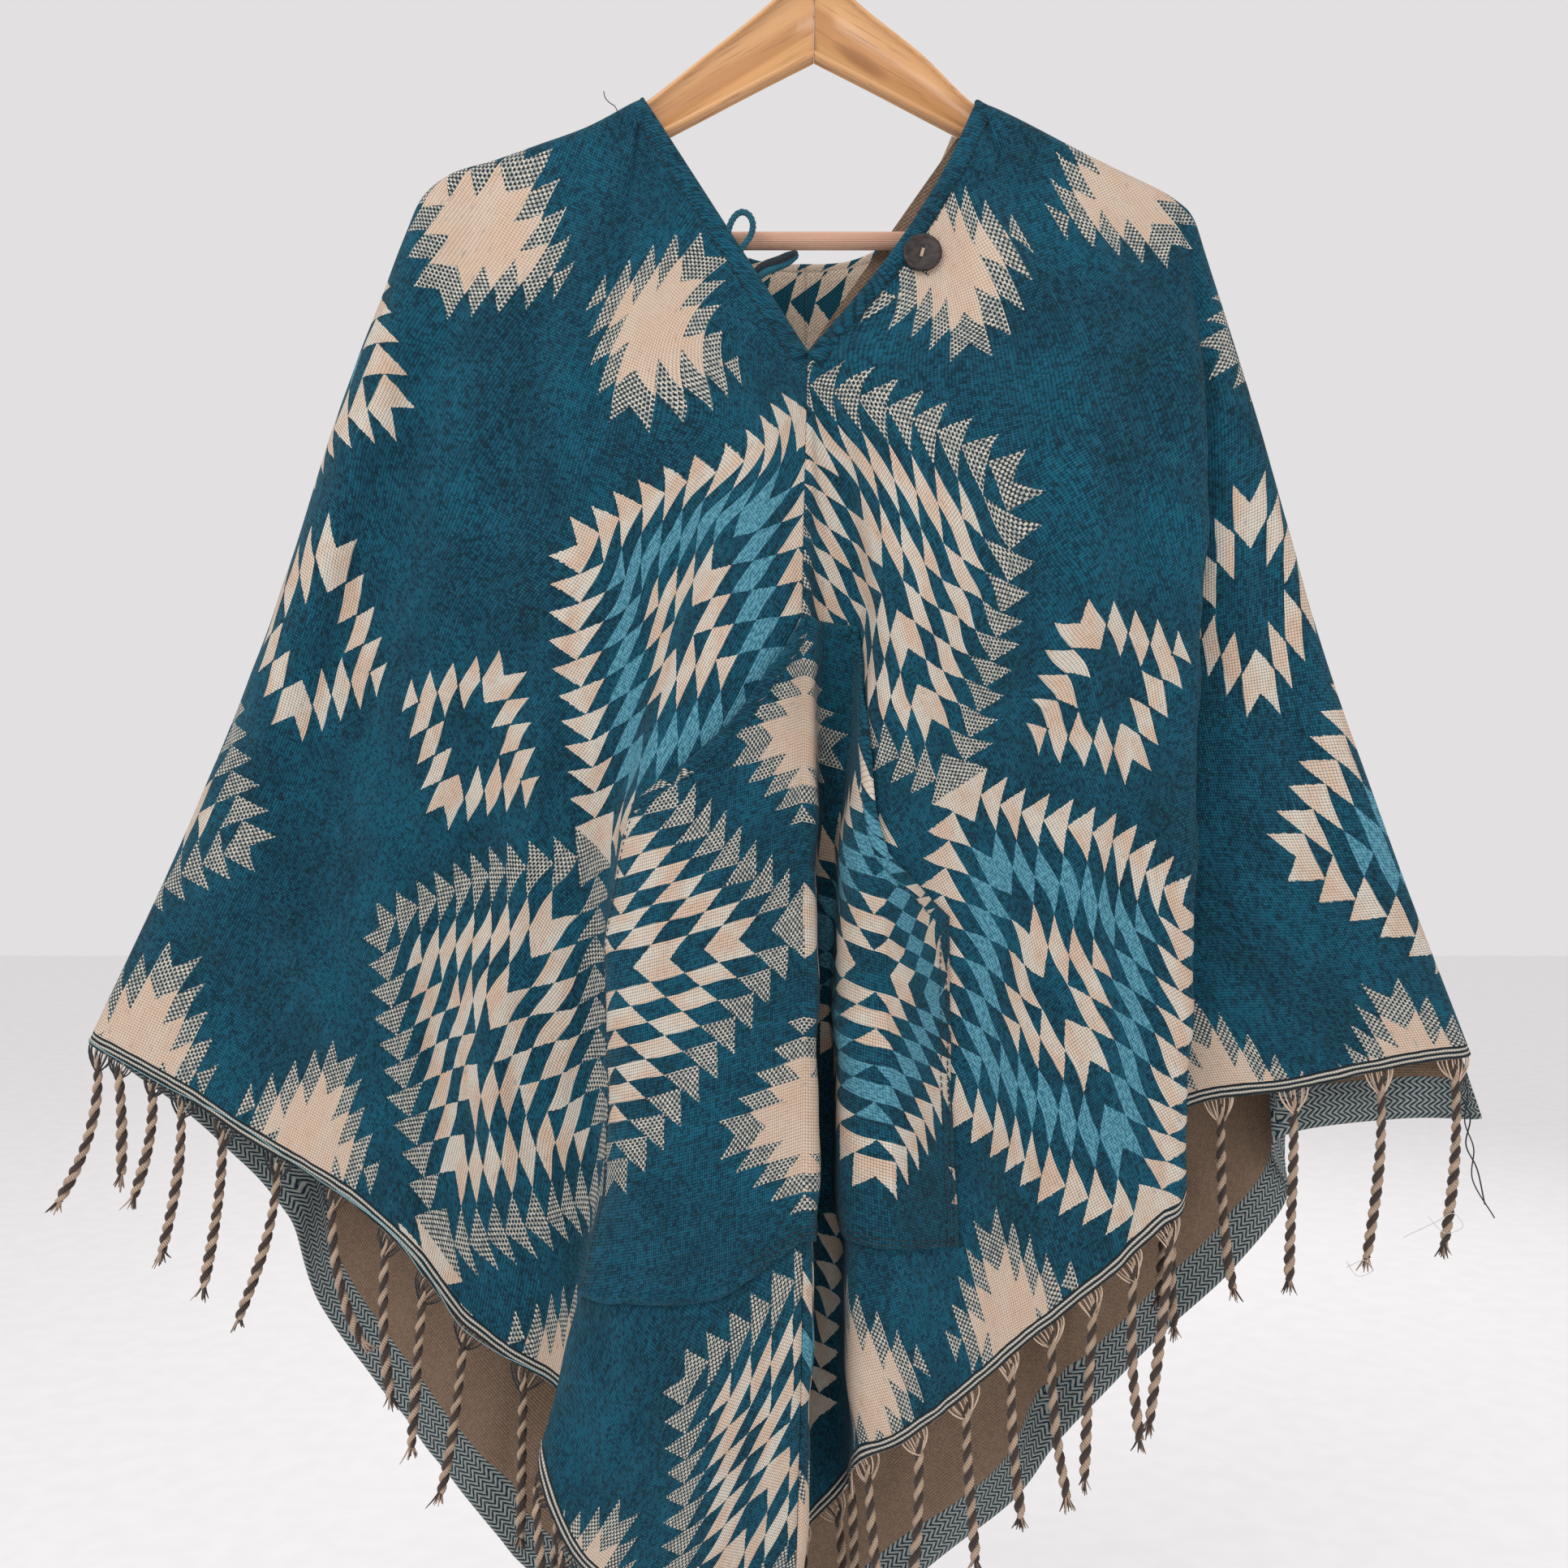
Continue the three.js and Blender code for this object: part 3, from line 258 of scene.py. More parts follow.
probe = surface(front_left, np.array([3.5]), np.array([0.5]))
print("a point of the left front, mm", np.round(probe, 1).tolist())

# %% [markdown]
# Columns are spread so that the mesh is equally fine across wide and narrow gaps.
# Rows are close together over the shoulder, where the cloth bends sharply.

# %% Grids of a panel
SPACING = 4.6
ROLL_LEVELS = [0, 0.0008, 0.002, 0.0035, 0.0055, 0.0095, 0.014, 0.019]
ROWS = 142


def panel_columns(panel):
    """Values of u: each gap between two lines gets columns by its widest distance."""
    levels = np.linspace(0, 1, 9)
    lines = np.stack([line_point(panel, np.full(9, k), levels) for k in range(len(panel["hem"]))])
    widest = np.linalg.norm(np.diff(lines, axis=0), axis=-1).max(axis=1)
    counts = np.maximum(2, np.ceil(widest / SPACING).astype(int))
    inner = [i + np.arange(n) / n for i, n in enumerate(counts)]
    return np.concatenate([*inner, [len(counts)]])


def panel_grid(panel):
    """Grids of u and v, one row for each level."""
    rows = np.concatenate([ROLL_LEVELS, np.linspace(ROLL_LEVELS[-1], 1, ROWS)[1:]])
    return np.meshgrid(panel_columns(panel), rows)


def unit(vectors):
    """Vectors of length one."""
    return vectors / np.maximum(np.linalg.norm(vectors, axis=-1, keepdims=True), 1e-9)


def length_along(points, axis=0):
    """The distance from the start to each point of a path, or along one axis of a grid."""
    steps = np.linalg.norm(np.diff(points, axis=axis), axis=-1)
    start = np.zeros_like(np.take(steps, [0], axis=axis))
    return np.concatenate([start, np.cumsum(steps, axis=axis)], axis=axis)


def outward(points, side):
    """Normals: the cross product of the steps across and down, on the panel's side."""
    across, down = np.gradient(points, axis=1), np.gradient(points, axis=0)
    normals = unit(np.cross(across, down))
    return normals if np.sign(normals[..., 1].mean()) == side else -normals


print("rows and columns of the left front", panel_grid(front_left)[0].shape)

# %% [markdown]
# Between the large folds the cloth has soft drapes and a few sharper creases, such as
# the one that runs down to the left under the pocket. Each is drawn as a line
# from one place to another with a width and a height, and no two are alike. A little
# unevenness all over keeps the handwoven cloth from looking ironed.

# %% Creases drawn one by one
# From x, z to x, z, then half width and height outwards; a negative height is a furrow.
CREASES_FRONT_LEFT = [
    (-216, -222, -340, -620, 15, 3.6), (-196, -215, -300, -560, 13, -3.2),
    (-172, -205, -262, -640, 15, 3.4), (-150, -240, -214, -560, 12, -2.8),
    (-122, -200, -172, -470, 11, 2.6), (-104, -190, -128, -420, 8, -2.0),
    (-330, -560, -250, -700, 14, 3.0), (-380, -610, -300, -690, 9, -2.6),
    (-236, -520, -196, -780, 13, -3.4), (-188, -600, -170, -820, 10, 2.6),
    (-286, -470, -230, -560, 7, 1.6), (-352, -470, -300, -640, 8, -2.0),
    (-74, -838, -110, -905, 3.2, -3.4), (-84, -836, -122, -898, 5.5, 2.2),
    (-60, -860, -52, -985, 8, 2.2), (-36, -850, -34, -1000, 6, -2.0),
    (-100, -300, -60, -400, 9, 1.8), (-58, -345, -86, -470, 7, -1.4),
]
CREASES_FRONT_RIGHT = [
    (196, -225, 172, -520, 13, -3.0), (160, -200, 150, -560, 14, 3.0),
    (128, -190, 128, -520, 12, -2.6), (106, -180, 96, -400, 9, 2.2),
    (262, -360, 330, -640, 12, 3.0), (240, -330, 290, -600, 10, -2.6),
    (318, -560, 352, -680, 9, 2.4), (226, -420, 238, -690, 7, -2.4),
    (140, -560, 172, -780, 13, 3.0), (112, -600, 110, -820, 11, -2.8),
    (84, -640, 88, -850, 8, 2.2), (178, -600, 190, -770, 8, -2.2),
    (60, -330, 90, -430, 8, 1.8), (56, -840, 66, -890, 5, 1.6),
]
CREASES_BACK_LEFT = [
    (-210, -225, -340, -640, 16, 3.4), (-180, -215, -280, -700, 14, -3.2),
    (-150, -205, -236, -760, 15, 3.2), (-116, -240, -180, -800, 13, -2.8),
    (-150, -560, -160, -930, 12, 3.2), (-100, -620, -110, -1000, 11, -3.0),
    (-60, -640, -50, -1060, 10, 2.8), (-30, -560, -36, -1040, 8, -2.2),
    (-300, -520, -360, -690, 9, -2.2), (-206, -700, -230, -880, 9, 2.4),
]
CREASES_BACK_RIGHT = [
    (200, -225, 290, -560, 15, 3.0), (172, -215, 236, -700, 14, -3.0),
    (140, -205, 180, -720, 14, 3.2), (108, -240, 140, -760, 12, -2.8),
    (60, -560, 76, -960, 12, 3.0), (26, -600, 30, -1000, 10, -2.6),
    (120, -640, 130, -900, 9, 2.6), (300, -560, 350, -720, 9, 2.2),
    (210, -600, 236, -800, 8, -2.2),
]
MARGIN = 14
WAVE_LENGTHS, WAVE_HEIGHT = (34, 52, 83), 0.45


def crease_height(points, creases, seed):
    """Height of all creases at each point, in millimetres outwards.

    A crease adds its height times exp(-(distance to its line / half width) squared),
    times the root of the sine of its share, so that it fades out at both ends. Three
    long waves of half a millimetre with their own directions are added everywhere.
    """
    x, z = points[..., 0], points[..., 2]
    height = np.zeros_like(x)
    for x0, z0, x1, z1, width, deep in creases:
        run = np.array([x1 - x0, z1 - z0], dtype=float)
        along = ((x - x0) * run[0] + (z - z0) * run[1]) / (run @ run)
        share = np.clip(along, 0, 1)
        away = np.hypot(x - x0 - share * run[0], z - z0 - share * run[1])
        height += deep * np.exp(-((away / width) ** 2)) * np.sqrt(np.sin(np.pi * share))
    rng = np.random.default_rng(seed)
    for length in WAVE_LENGTHS:
        turn, phase = rng.uniform(0, np.pi), rng.uniform(0, 2 * np.pi)
        place = (x * np.cos(turn) + z * np.sin(turn)) / length
        height += WAVE_HEIGHT * np.sin(2 * np.pi * place + phase)
    return height


def draped(panel, creases, seed, u, v):
    """Points of the panel with its creases, and their normals. Creases fade to nothing
    near the sleeve's fold and the shoulder, where front and back almost touch, and at
    the centre seam, where left and right are sewn together."""
    plain = surface(panel, u, v)
    normals = outward(plain, panel["side"])
    ends = np.array([panel["names"][0], panel["names"][-1]])
    seam_u = 0 if ends[0] == "centre_seam" else len(panel["hem"]) - 1
    from_fold = np.clip((np.abs(plain[..., 1]) - 1) / MARGIN, 0, 1)
    from_seam = np.clip(np.abs(u - seam_u) / 0.6, 0, 1)
    room = from_fold * from_seam * np.clip(v / 0.05, 0, 1)
    points = plain + normals * (crease_height(plain, creases, seed) * room)[..., None]
    points[..., 1] = keep_apart(points[..., 1], panel["side"])
    return points, outward(points, panel["side"])


PANELS = {
    "front_left": (front_left, CREASES_FRONT_LEFT, 11),
    "front_right": (front_right, CREASES_FRONT_RIGHT, 12),
    "back_left": (back_left, CREASES_BACK_LEFT, 13),
    "back_right": (back_right, CREASES_BACK_RIGHT, 14),
}
shapes = {}
for name, (panel, creases, seed) in PANELS.items():
    u, v = panel_grid(panel)
    points, normals = draped(panel, creases, seed, u, v)
    seam = 0 if panel["names"][0] == "centre_seam" else -1
    points[:, seam, 0] += HALF_SEAM if seam == 0 else -HALF_SEAM
    shapes[name] = {"u": u, "v": v, "points": points, "normals": normals}
print("depth of the fronts, mm", [np.round(shapes[n]["points"][..., 1].min(), 1) for n in PANELS])

# %% [markdown]
# The pattern is woven into the cloth, so it has to follow the cloth and not the view.
# Every panel is cut from the same striped-and-diamond blanket: one edge along the hem,
# the centre seam at 45 degrees to the weave. So each point gets two cloth coordinates:
# how far up from the hem along the warp, and how far in from the sleeve along the weft.
# Across a row they follow the length of the surface itself; at the two ends they meet
# the cut. This keeps a motif's size true on the flank of a fold.

# %% Cloth coordinates
HEM_WIDTH = 641
NECK_LOW_WARP = 601
STEP_WARP, STEP_WEFT = 12.2, 9.33
CUTS = {
    # warp height of the shoulder tip, its weft offset, warp direction in x and z, and
    # how much wider the surface is here than the cloth
    "left": (509, -18, (0.398, 0.917), 0.95),
    "right": (514, -34, (-0.371, 0.928), 0.87),
}


def cloth_coordinates(name, take_up):
    """Warp and weft coordinates of a panel's grid, in millimetres of flat cloth.

    Along a row, the warp coordinate follows the place along the warp's direction, and
    the weft coordinate the length of the surface square to it. Each row then is brought
    to meet the centre seam, which crosses one step of warp for each step of weft: the
    warp by an even shear, the weft by what the deep folds take up, which lies past the
    line take_up.
    """
    panel, shape = PANELS[name][0], shapes[name]
    points, v = shape["points"], shape["v"][:, :1]
    flip = panel["names"][0] == "centre_seam"
    if flip:
        points = points[:, ::-1]
    tip, offset, direction, width = CUTS["left" if panel["left"] else "right"]
    warp_way = np.array([direction[0], 0, direction[1]]) / np.hypot(*direction)
    steps = np.diff(points, axis=1)
    up = steps @ warp_way
    across = np.sqrt(np.maximum((steps ** 2).sum(axis=-1) - up ** 2, 0))
    zero = np.zeros_like(v)
    up = np.concatenate([zero, np.cumsum(up, axis=1)], axis=1)
    across = np.concatenate([zero, np.cumsum(across, axis=1)], axis=1) * width
    share = across / across[:, -1:]
    warp_start, warp_end = tip * (1 - v), NECK_LOW_WARP * (1 - v)
    warp = warp_start + up + (warp_end - warp_start - up[:, -1:]) * share
    weft_start, weft_end = offset * (1 - v), HEM_WIDTH - warp_end * STEP_WEFT / STEP_WARP
    column = int(np.searchsorted(np.sort(shape["u"][0]), take_up))
    foot = across[:, column:column + 1]
    begun = np.clip((across - foot) / (across[:, -1:] - foot), 0, 1)
    weft = weft_start + across + (weft_end - weft_start - across[:, -1:]) * begun
    warp = warp - warp[-1:] * v ** 2
    if flip:
        warp, weft = warp[:, ::-1], weft[:, ::-1]
    return warp, weft


TAKE_UP = {"front_left": 9.4, "front_right": 10.5, "back_left": 0, "back_right": 0}
for name in PANELS:
    shapes[name]["warp"], shapes[name]["weft"] = cloth_coordinates(name, TAKE_UP[name])
print("hem width of the flat cut, mm", round(float(np.ptp(shapes["front_left"]["weft"][-1])), 1))

# %% [markdown]
# Blanket cloth stretches and skews where it hangs, so the sums above are a centimetre
# or two off in places. The photograph shows where some motifs' centres and corners lie.
# A smooth correction brings those few places to the coordinates that the lattice has
# for them: first a plane fitted to all of them, then soft hills for what is left.

# %% Places of motifs
# x and z in the frame, then the warp and weft that the cloth has there.
PLACES = {
    "front_left": [
        (-72, -453, 411, 225), (-149, -413, 411, 122), (-240, -326, 411, 21), (-23, -337, 545, 225),
        (-184, -686, 143, 225), (-243, -620, 143, 122), (-70, -852, 143, 428), (-211, -799, 9, 225),
        (-192, -513, 277, 130), (-280, -459, 277, 15), (-122, -574, 277, 225),
        (-89, -280, 545, 130), (-191, -227, 545, 15),
    ],
    "front_right": [
        (42, -433, 417, 216), (121.5, -386, 417, 113), (232, -293, 417, 13), (77, -541, 283, 216),
        (131, -657, 149, 216), (202, -605, 149, 113), (61, -703.5, 149, 319), (273, -582, 149, 13),
        (186, -780, 15, 216), (161, -487, 283, 121), (247, -436, 283, 6),
        (77, -250, 551, 121), (178, -203, 551, 6),
    ],
}
# Some teeth beside the centre seam, which only the cloth near them follows. A place
# without coordinates keeps those it has.
TEETH = {
    "front_left": [
        (-133, -406, 411, 122), (-85, -360, 472, 150), (-30, -334, 521, 188), (-7, -330, 545, 225),
        (-6, -389, 508, 253), (-6, -448, 472, 281), (-72, -453, 411, 225),
        (-89, -280), (-60, -262), (-118, -305), (-45, -290),
    ],
    "front_right": [
        (110, -372, 417, 113), (86, -337, 454, 123), (47, -316, 490, 151), (-1, -300, 527, 179),
        (42, -433, 417, 216), (77, -250), (110, -290), (45, -268),
    ],
}


def brought_to_places(name, places, hill, tilted):
    """Warp and weft, corrected so that each place has its coordinates. A hill's height
    falls as exp(-(distance on the cloth / hill) squared / 2); their heights solve a small
    system of equations, one for each place."""
    shape = shapes[name]
    cloth = np.stack([shape["warp"], shape["weft"]], axis=-1)
    points = shape["points"]
    now, wanted = [], []
    for x, z, *coordinates in places:
        away = np.hypot(points[..., 0] - x, points[..., 2] - z) + 0.02 * points[..., 1]
        now.append(cloth[np.unravel_index(np.argmin(away), away.shape)])
        wanted.append(coordinates or now[-1])
    now, move = np.array(now), np.array(wanted) - np.array(now)

    def plane(at):
        return np.concatenate([np.ones_like(at[..., :1]), at], axis=-1)

    def hills(at):
        return np.exp(-((at[..., None, :] - now) ** 2).sum(axis=-1) / (2 * hill ** 2))

    tilt = np.linalg.lstsq(plane(now), move, rcond=None)[0] * tilted
    heights = np.linalg.solve(hills(now) + 0.02 * np.eye(len(now)), move - plane(now) @ tilt)
    cloth = cloth + plane(cloth) @ tilt + hills(cloth) @ heights
    return cloth[..., 0], cloth[..., 1], np.abs(move).max(axis=0)


for table, hill, tilted in ((PLACES, 90, 1), (TEETH, 38, 0)):
    for name, places in table.items():
        warp, weft, largest = brought_to_places(name, places, hill, tilted)
        shapes[name].update(warp=warp, weft=weft)
        print(name, "largest correction, mm", np.round(largest).tolist())

# %% [markdown]
# A helper turns a grid of points into a mesh. foreach_set copies whole arrays into
# Blender at once. Two UV maps go with cloth: "weave" holds the cloth coordinates that
# the pattern reads, and "edge" the distance from a woven edge, for its border.

# %% Meshes from grids
WALL = 1.5 * MM


def grid_faces(rows, columns, closed=False):
    """Corner numbers of the quads of a grid; closed joins the last column to the first."""
    across = columns if closed else columns - 1
    r, c = np.meshgrid(np.arange(rows - 1), np.arange(across), indexing="ij")
    right = (c + 1) % columns
    return np.stack([r * columns + c, r * columns + right,
                     (r + 1) * columns + right, (r + 1) * columns + c], axis=-1).reshape(-1, 4)


def new_mesh(name, points, quads, materials, maps=None, slots=None, triangles=None):
    """An object from points in metres and faces, smooth, with UV maps by point."""
    mesh = bpy.data.meshes.new(name)
    faces = [quads] if triangles is None else [quads, triangles]
    sizes = np.concatenate([np.full(len(f), f.shape[1]) for f in faces])
    corners = np.concatenate([f.ravel() for f in faces])
    mesh.vertices.add(len(points))
    mesh.vertices.foreach_set("co", np.ascontiguousarray(points, dtype=np.float32).ravel())
    mesh.loops.add(len(corners))
    mesh.loops.foreach_set("vertex_index", corners.astype(np.int32))
    mesh.polygons.add(len(sizes))
    mesh.polygons.foreach_set("loop_start", (np.cumsum(sizes) - sizes).astype(np.int32))
    for key, values in (maps or {}).items():
        layer = mesh.uv_layers.new(name=key)
        layer.data.foreach_set("uv", values[corners].astype(np.float32).ravel())
    for material in materials:
        mesh.materials.append(material)
    if slots is not None:
        mesh.polygons.foreach_set("material_index", slots.astype(np.int32))
    mesh.update(calc_edges=True)
    mesh.validate()
    mesh.shade_smooth()
    obj = bpy.data.objects.new(name, mesh)
    bpy.context.collection.objects.link(obj)
    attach(obj, "root")
    return obj


def faces_out(points, normals):
    """Whether quads that run across and then down have their front on the normals' side."""
    r, c = points.shape[0] // 2, points.shape[1] // 3
    across, down = points[r, c + 1] - points[r, c], points[r + 1, c] - points[r, c]
    return np.dot(np.cross(across, down), normals[r, c]) > 0


def cloth_sheet(name, points, normals, materials, weave, edge):
    """A sheet on a grid of points in millimetres whose front is on the normals' side.
    Solidify gives it its wall, half to each side, with the inside in its own material."""
    quads = grid_faces(*points.shape[:2])
    if not faces_out(points, normals):
        quads = quads[:, ::-1]
    maps = {"weave": weave.reshape(-1, 2), "edge": edge.reshape(-1, 2)}
    obj = new_mesh(name, points.reshape(-1, 3) * MM, quads, materials, maps)
    wall = obj.modifiers.new("wall", "SOLIDIFY")
    wall.thickness = WALL
    wall.offset = 0.0
    wall.material_offset = 1
    wall.use_rim = True
    return obj


print("mesh helpers ready")

# %% [markdown]
# The motifs are stepped diamonds, and every step is a small triangle. With u and v the
# distance from the motif's centre along warp and weft in steps, one formula draws the
# saw teeth of a ring: t = u + whole part of v - fraction of v. Rings are ranges of t,
# and the outer boundary uses the same formula with u and v swapped. Worked out in the
# shader, the teeth stay crisp at any distance. To keep formulas readable as formulas,
# a small class lets Python's own signs make the Math nodes.

# %% Formulas as nodes


class Field:
    """A number that has a value at each point of a surface, made by shader nodes."""

    def __init__(self, tree, socket):
        self.tree, self.socket = tree, socket

    def made(self, operation, *others):
        node = self.tree.nodes.new("ShaderNodeMath")
        node.operation = operation
        for slot, value in enumerate((self, *others)):
            if isinstance(value, Field):
                self.tree.links.new(value.socket, node.inputs[slot])
            else:
                node.inputs[slot].default_value = value
        return Field(self.tree, node.outputs[0])

    def __add__(self, other):
        return self.made("ADD", other)

    def __sub__(self, other):
        return self.made("SUBTRACT", other)

    def __rsub__(self, other):
        return (self * -1).made("ADD", other)

    def __mul__(self, other):
        return self.made("MULTIPLY", other)

    def __truediv__(self, other):
        return self.made("DIVIDE", other)

    def __gt__(self, other):
        return self.made("GREATER_THAN", other)

    def __lt__(self, other):
        return self.made("LESS_THAN", other)

    def __abs__(self):
        return self.made("ABSOLUTE")

    def floor(self):
        return self.made("FLOOR")

    def fract(self):
        return self.made("FRACT")

    def round(self):
        return self.made("ROUND")

    def sine(self):
        return self.made("SINE")

    def odd(self):
        """1 where a whole number is odd."""
        return (self / 2).fract() > 0.25

    def larger(self, other):
        return self.made("MAXIMUM", other)

    def without(self, other):
        """This much, except where other is 1."""
        return self * (1 - other)

    def between(self, low, high):
        return (self > low) * (self < high)

    def clear_step(self, low, high):
        """0 below low, 1 above high, smooth between."""
        node = self.tree.nodes.new("ShaderNodeMapRange")
        node.interpolation_type = "SMOOTHSTEP"
        node.inputs["From Min"].default_value = low
        node.inputs["From Max"].default_value = high
        self.tree.links.new(self.socket, node.inputs["Value"])
        return Field(self.tree, node.outputs["Result"])


print("Field has", len([k for k in vars(Field) if not k.startswith("_")]), "named operations")

# %% Materials: shared helpers


def new_material(name, roughness, sheen=0.0, sockets=None):
    """A material with its node tree and Principled shader. Further values are set on
    the shader's sockets by their names."""
    material = bpy.data.materials.new(name)
    material.use_nodes = True
    tree = material.node_tree
    shader = tree.nodes["Principled BSDF"]
    values = {"Roughness": roughness, "Sheen Weight": sheen, "Sheen Roughness": 0.45}
    for key, value in {**values, **(sockets or {})}.items():
        shader.inputs[key].default_value = value
    return material, tree, shader


def paint(tree, shader, colour):
    """Gives the shader its colour."""
    tree.links.new(colour, shader.inputs["Base Color"])


def uv_fields(tree, name):
    """The two coordinates of a UV map, in metres."""
    node = tree.nodes.new("ShaderNodeUVMap")
    node.uv_map = name
    split = tree.nodes.new("ShaderNodeSeparateXYZ")
    tree.links.new(node.outputs["UV"], split.inputs[0])
    return Field(tree, split.outputs["X"]), Field(tree, split.outputs["Y"])


def object_point(tree):
    """Object coordinates, which are the row frame's, because pieces sit at the origin."""
    return tree.nodes.new("ShaderNodeTexCoord").outputs["Object"]


def place_of(tree, *fields):
    """The vector whose coordinates are two or three numbers."""
    place = tree.nodes.new("ShaderNodeCombineXYZ")
    for slot, field in enumerate(fields):
        tree.links.new(field.socket, place.inputs[slot])
    return place.outputs[0]


def noise(tree, vector, scale, detail=3.0, stretch=(1, 1, 1), turn=(0, 0, 0)):
    """Noise from 0 to 1, with its cells stretched along turned axes."""
    mapping = tree.nodes.new("ShaderNodeMapping")
    mapping.inputs["Scale"].default_value = stretch
    mapping.inputs["Rotation"].default_value = turn
    node = tree.nodes.new("ShaderNodeTexNoise")
    node.inputs["Scale"].default_value = scale
    node.inputs["Detail"].default_value = detail
    tree.links.new(vector, mapping.inputs["Vector"])
    tree.links.new(mapping.outputs["Vector"], node.inputs["Vector"])
    return Field(tree, node.outputs["Fac"])


def each_cell(tree, a, b):
    """A number from 0 to 1 for each cell of whole a and b, without any order."""
    node = tree.nodes.new("ShaderNodeTexWhiteNoise")
    node.noise_dimensions = "2D"
    tree.links.new(place_of(tree, a.floor(), b.floor()), node.inputs["Vector"])
    return Field(tree, node.outputs["Value"])


def blend(tree, amount, first, second):
    """The first colour where amount is 0, the second where it is 1."""
    node = tree.nodes.new("ShaderNodeMix")
    node.data_type = "RGBA"
    tree.links.new(amount.socket, node.inputs["Factor"])
    for key, value in (("A", first), ("B", second)):
        socket = [s for s in node.inputs if s.name == key and s.type == "RGBA"][0]
        if isinstance(value, tuple):
            socket.default_value = (*value, 1)
        else:
            tree.links.new(value, socket)
    return [s for s in node.outputs if s.type == "RGBA"][0]


def add_bump(tree, shader, height, distance, strength=1.0):
    """Relief from a height between 0 and 1, distance metres high."""
    bump = tree.nodes.new("ShaderNodeBump")
    bump.inputs["Distance"].default_value = distance
    bump.inputs["Strength"].default_value = strength
    tree.links.new(height.socket, bump.inputs["Height"])
    tree.links.new(bump.outputs["Normal"], shader.inputs["Normal"])


print("material helpers ready")

# %% [markdown]
# The diamonds stand in a lattice. Along the warp come, in turn, the diamond with the
# solid cream rim (A), small cream rings (C), the one with the speckled rim (B), and
# small soft stars (D), then A again. The same kind repeats along the weft.

# %% The lattice of motifs
WARP_REPEAT = 22 * STEP_WARP * MM
WEFT_REPEAT = 32.8 * STEP_WEFT * MM
SMALL_OFFSET = 10.25 * STEP_WEFT * MM


def saw(a, b):
    """Distance from the centre in steps, with a saw tooth for each step of b."""
    return a + b.floor() - b.fract()


def motifs(warp, weft, side=None):
    """Where the cloth is cream, light blue and speckled, as fields of 0 and 1, and where
    the heart of a small star is. The back has no motifs in the rows nearest its hem, and
    the front no diamonds in the row past the neck: they are left out as a whole."""
    across = weft - (weft / WEFT_REPEAT).round() * WEFT_REPEAT
    turn = (warp / WARP_REPEAT).round()
    is_b = turn.odd()
    u, v = abs(warp - turn * WARP_REPEAT) / (STEP_WARP * MM), abs(across) / (STEP_WEFT * MM)
    ring, rim = saw(u, v), saw(v, u)
    eye = ring.between(1, 3)
    middle = ring.between(5, 7)
    border = (ring > 9) * (rim < 11)
    half = (warp / WARP_REPEAT - 0.5).round()
    is_c = half.odd()
    su = abs(warp - (half + 0.5) * WARP_REPEAT) / (STEP_WARP * MM)
    sv = abs(abs(across) - SMALL_OFFSET) / (STEP_WEFT * MM)
    small = saw(su, sv)
    small_ring = small.between(2.1, 3.95) * is_c
    star = (small < 2.2).without(is_c)
    halo = (small < 3.9).without(is_c)
    if side == BACK:
        eye, middle, border = (field * (turn > -0.5) for field in (eye, middle, border))
        small_ring, star, halo = (field * (half > -1.5) for field in (small_ring, star, halo))
    if side == FRONT:
        eye, middle, border = (field * (turn < 0.5) for field in (eye, middle, border))
    cream = eye.larger(middle * is_b).larger(border.without(is_b)).larger(small_ring)
    blue = middle.without(is_b)
    speckled = (border * is_b).larger(halo)
    return cream, blue, speckled, star


print("one repeat of the cloth, mm", 2 * WARP_REPEAT / MM, "by", WEFT_REPEAT / MM)

# %% [markdown]
# The yarns: the cream parts are a plain weave of pale weft with tiny dark gaps, the
# speckled parts are short cream dashes on near black, and the teal ground is brushed,
# so its yarns are half hidden under a nap with dark flecks. The inside of the cloth has
# the same weave with the colours exchanged, because both yarns run through it. Along
# the fringed hem lies a heading of dark and cream cords, and along the back hem a
# herringbone selvedge.

# %% Cloth material
TEAL_BRIGHT, TEAL_MILD = (0.007, 0.105, 0.168), (0.007, 0.070, 0.112)
TEAL_DEEP = (0.001, 0.013, 0.024)
SLATE = (0.045, 0.080, 0.100)
CREAM, PEACH = (0.70, 0.65, 0.56), (0.69, 0.51, 0.385)
INKY = (0.012, 0.020, 0.026)
SPECK_DARK, SPECK_PALE = (0.022, 0.040, 0.048), (0.36, 0.37, 0.34)
SKY, SKY_DEEP = (0.125, 0.350, 0.450), (0.030, 0.145, 0.205)
# The inside's tan ground. The first pair is kept dark for the body's insides, as painted shade. The
# hood's pair below is the same tan made far brighter, as painted light, for the hood's inside and rim
# that show in the neck's opening.
TAN, TAN_DARK = (0.30, 0.205, 0.140), (0.12, 0.078, 0.055)
HOOD_TAN_LIT = ((0.92, 0.77, 0.61), (0.44, 0.32, 0.24))
STRIPE_GREY, STRIPE_BLUE = (0.30, 0.31, 0.29), (0.09, 0.18, 0.22)
YARN = 1.55 * MM
HEADING = 7.2 * MM
SELVEDGE = 24 * MM


def weave_relief(warp, weft, yarn):
    """Height of a plain weave: over a warp yarn or a weft yarn by turns, each round in
    section, from 0 in the gaps to 1 on the crowns."""
    a, b = warp / yarn, weft / yarn
    crown_a, crown_b = abs((a * math.pi).sine()), abs((b * math.pi).sine())
    over = (a.floor() + b.floor()).odd()
    across = crown_b * (crown_a * 0.5 + 0.5)
    return over * crown_a * (crown_b * 0.5 + 0.5) + across.without(over)


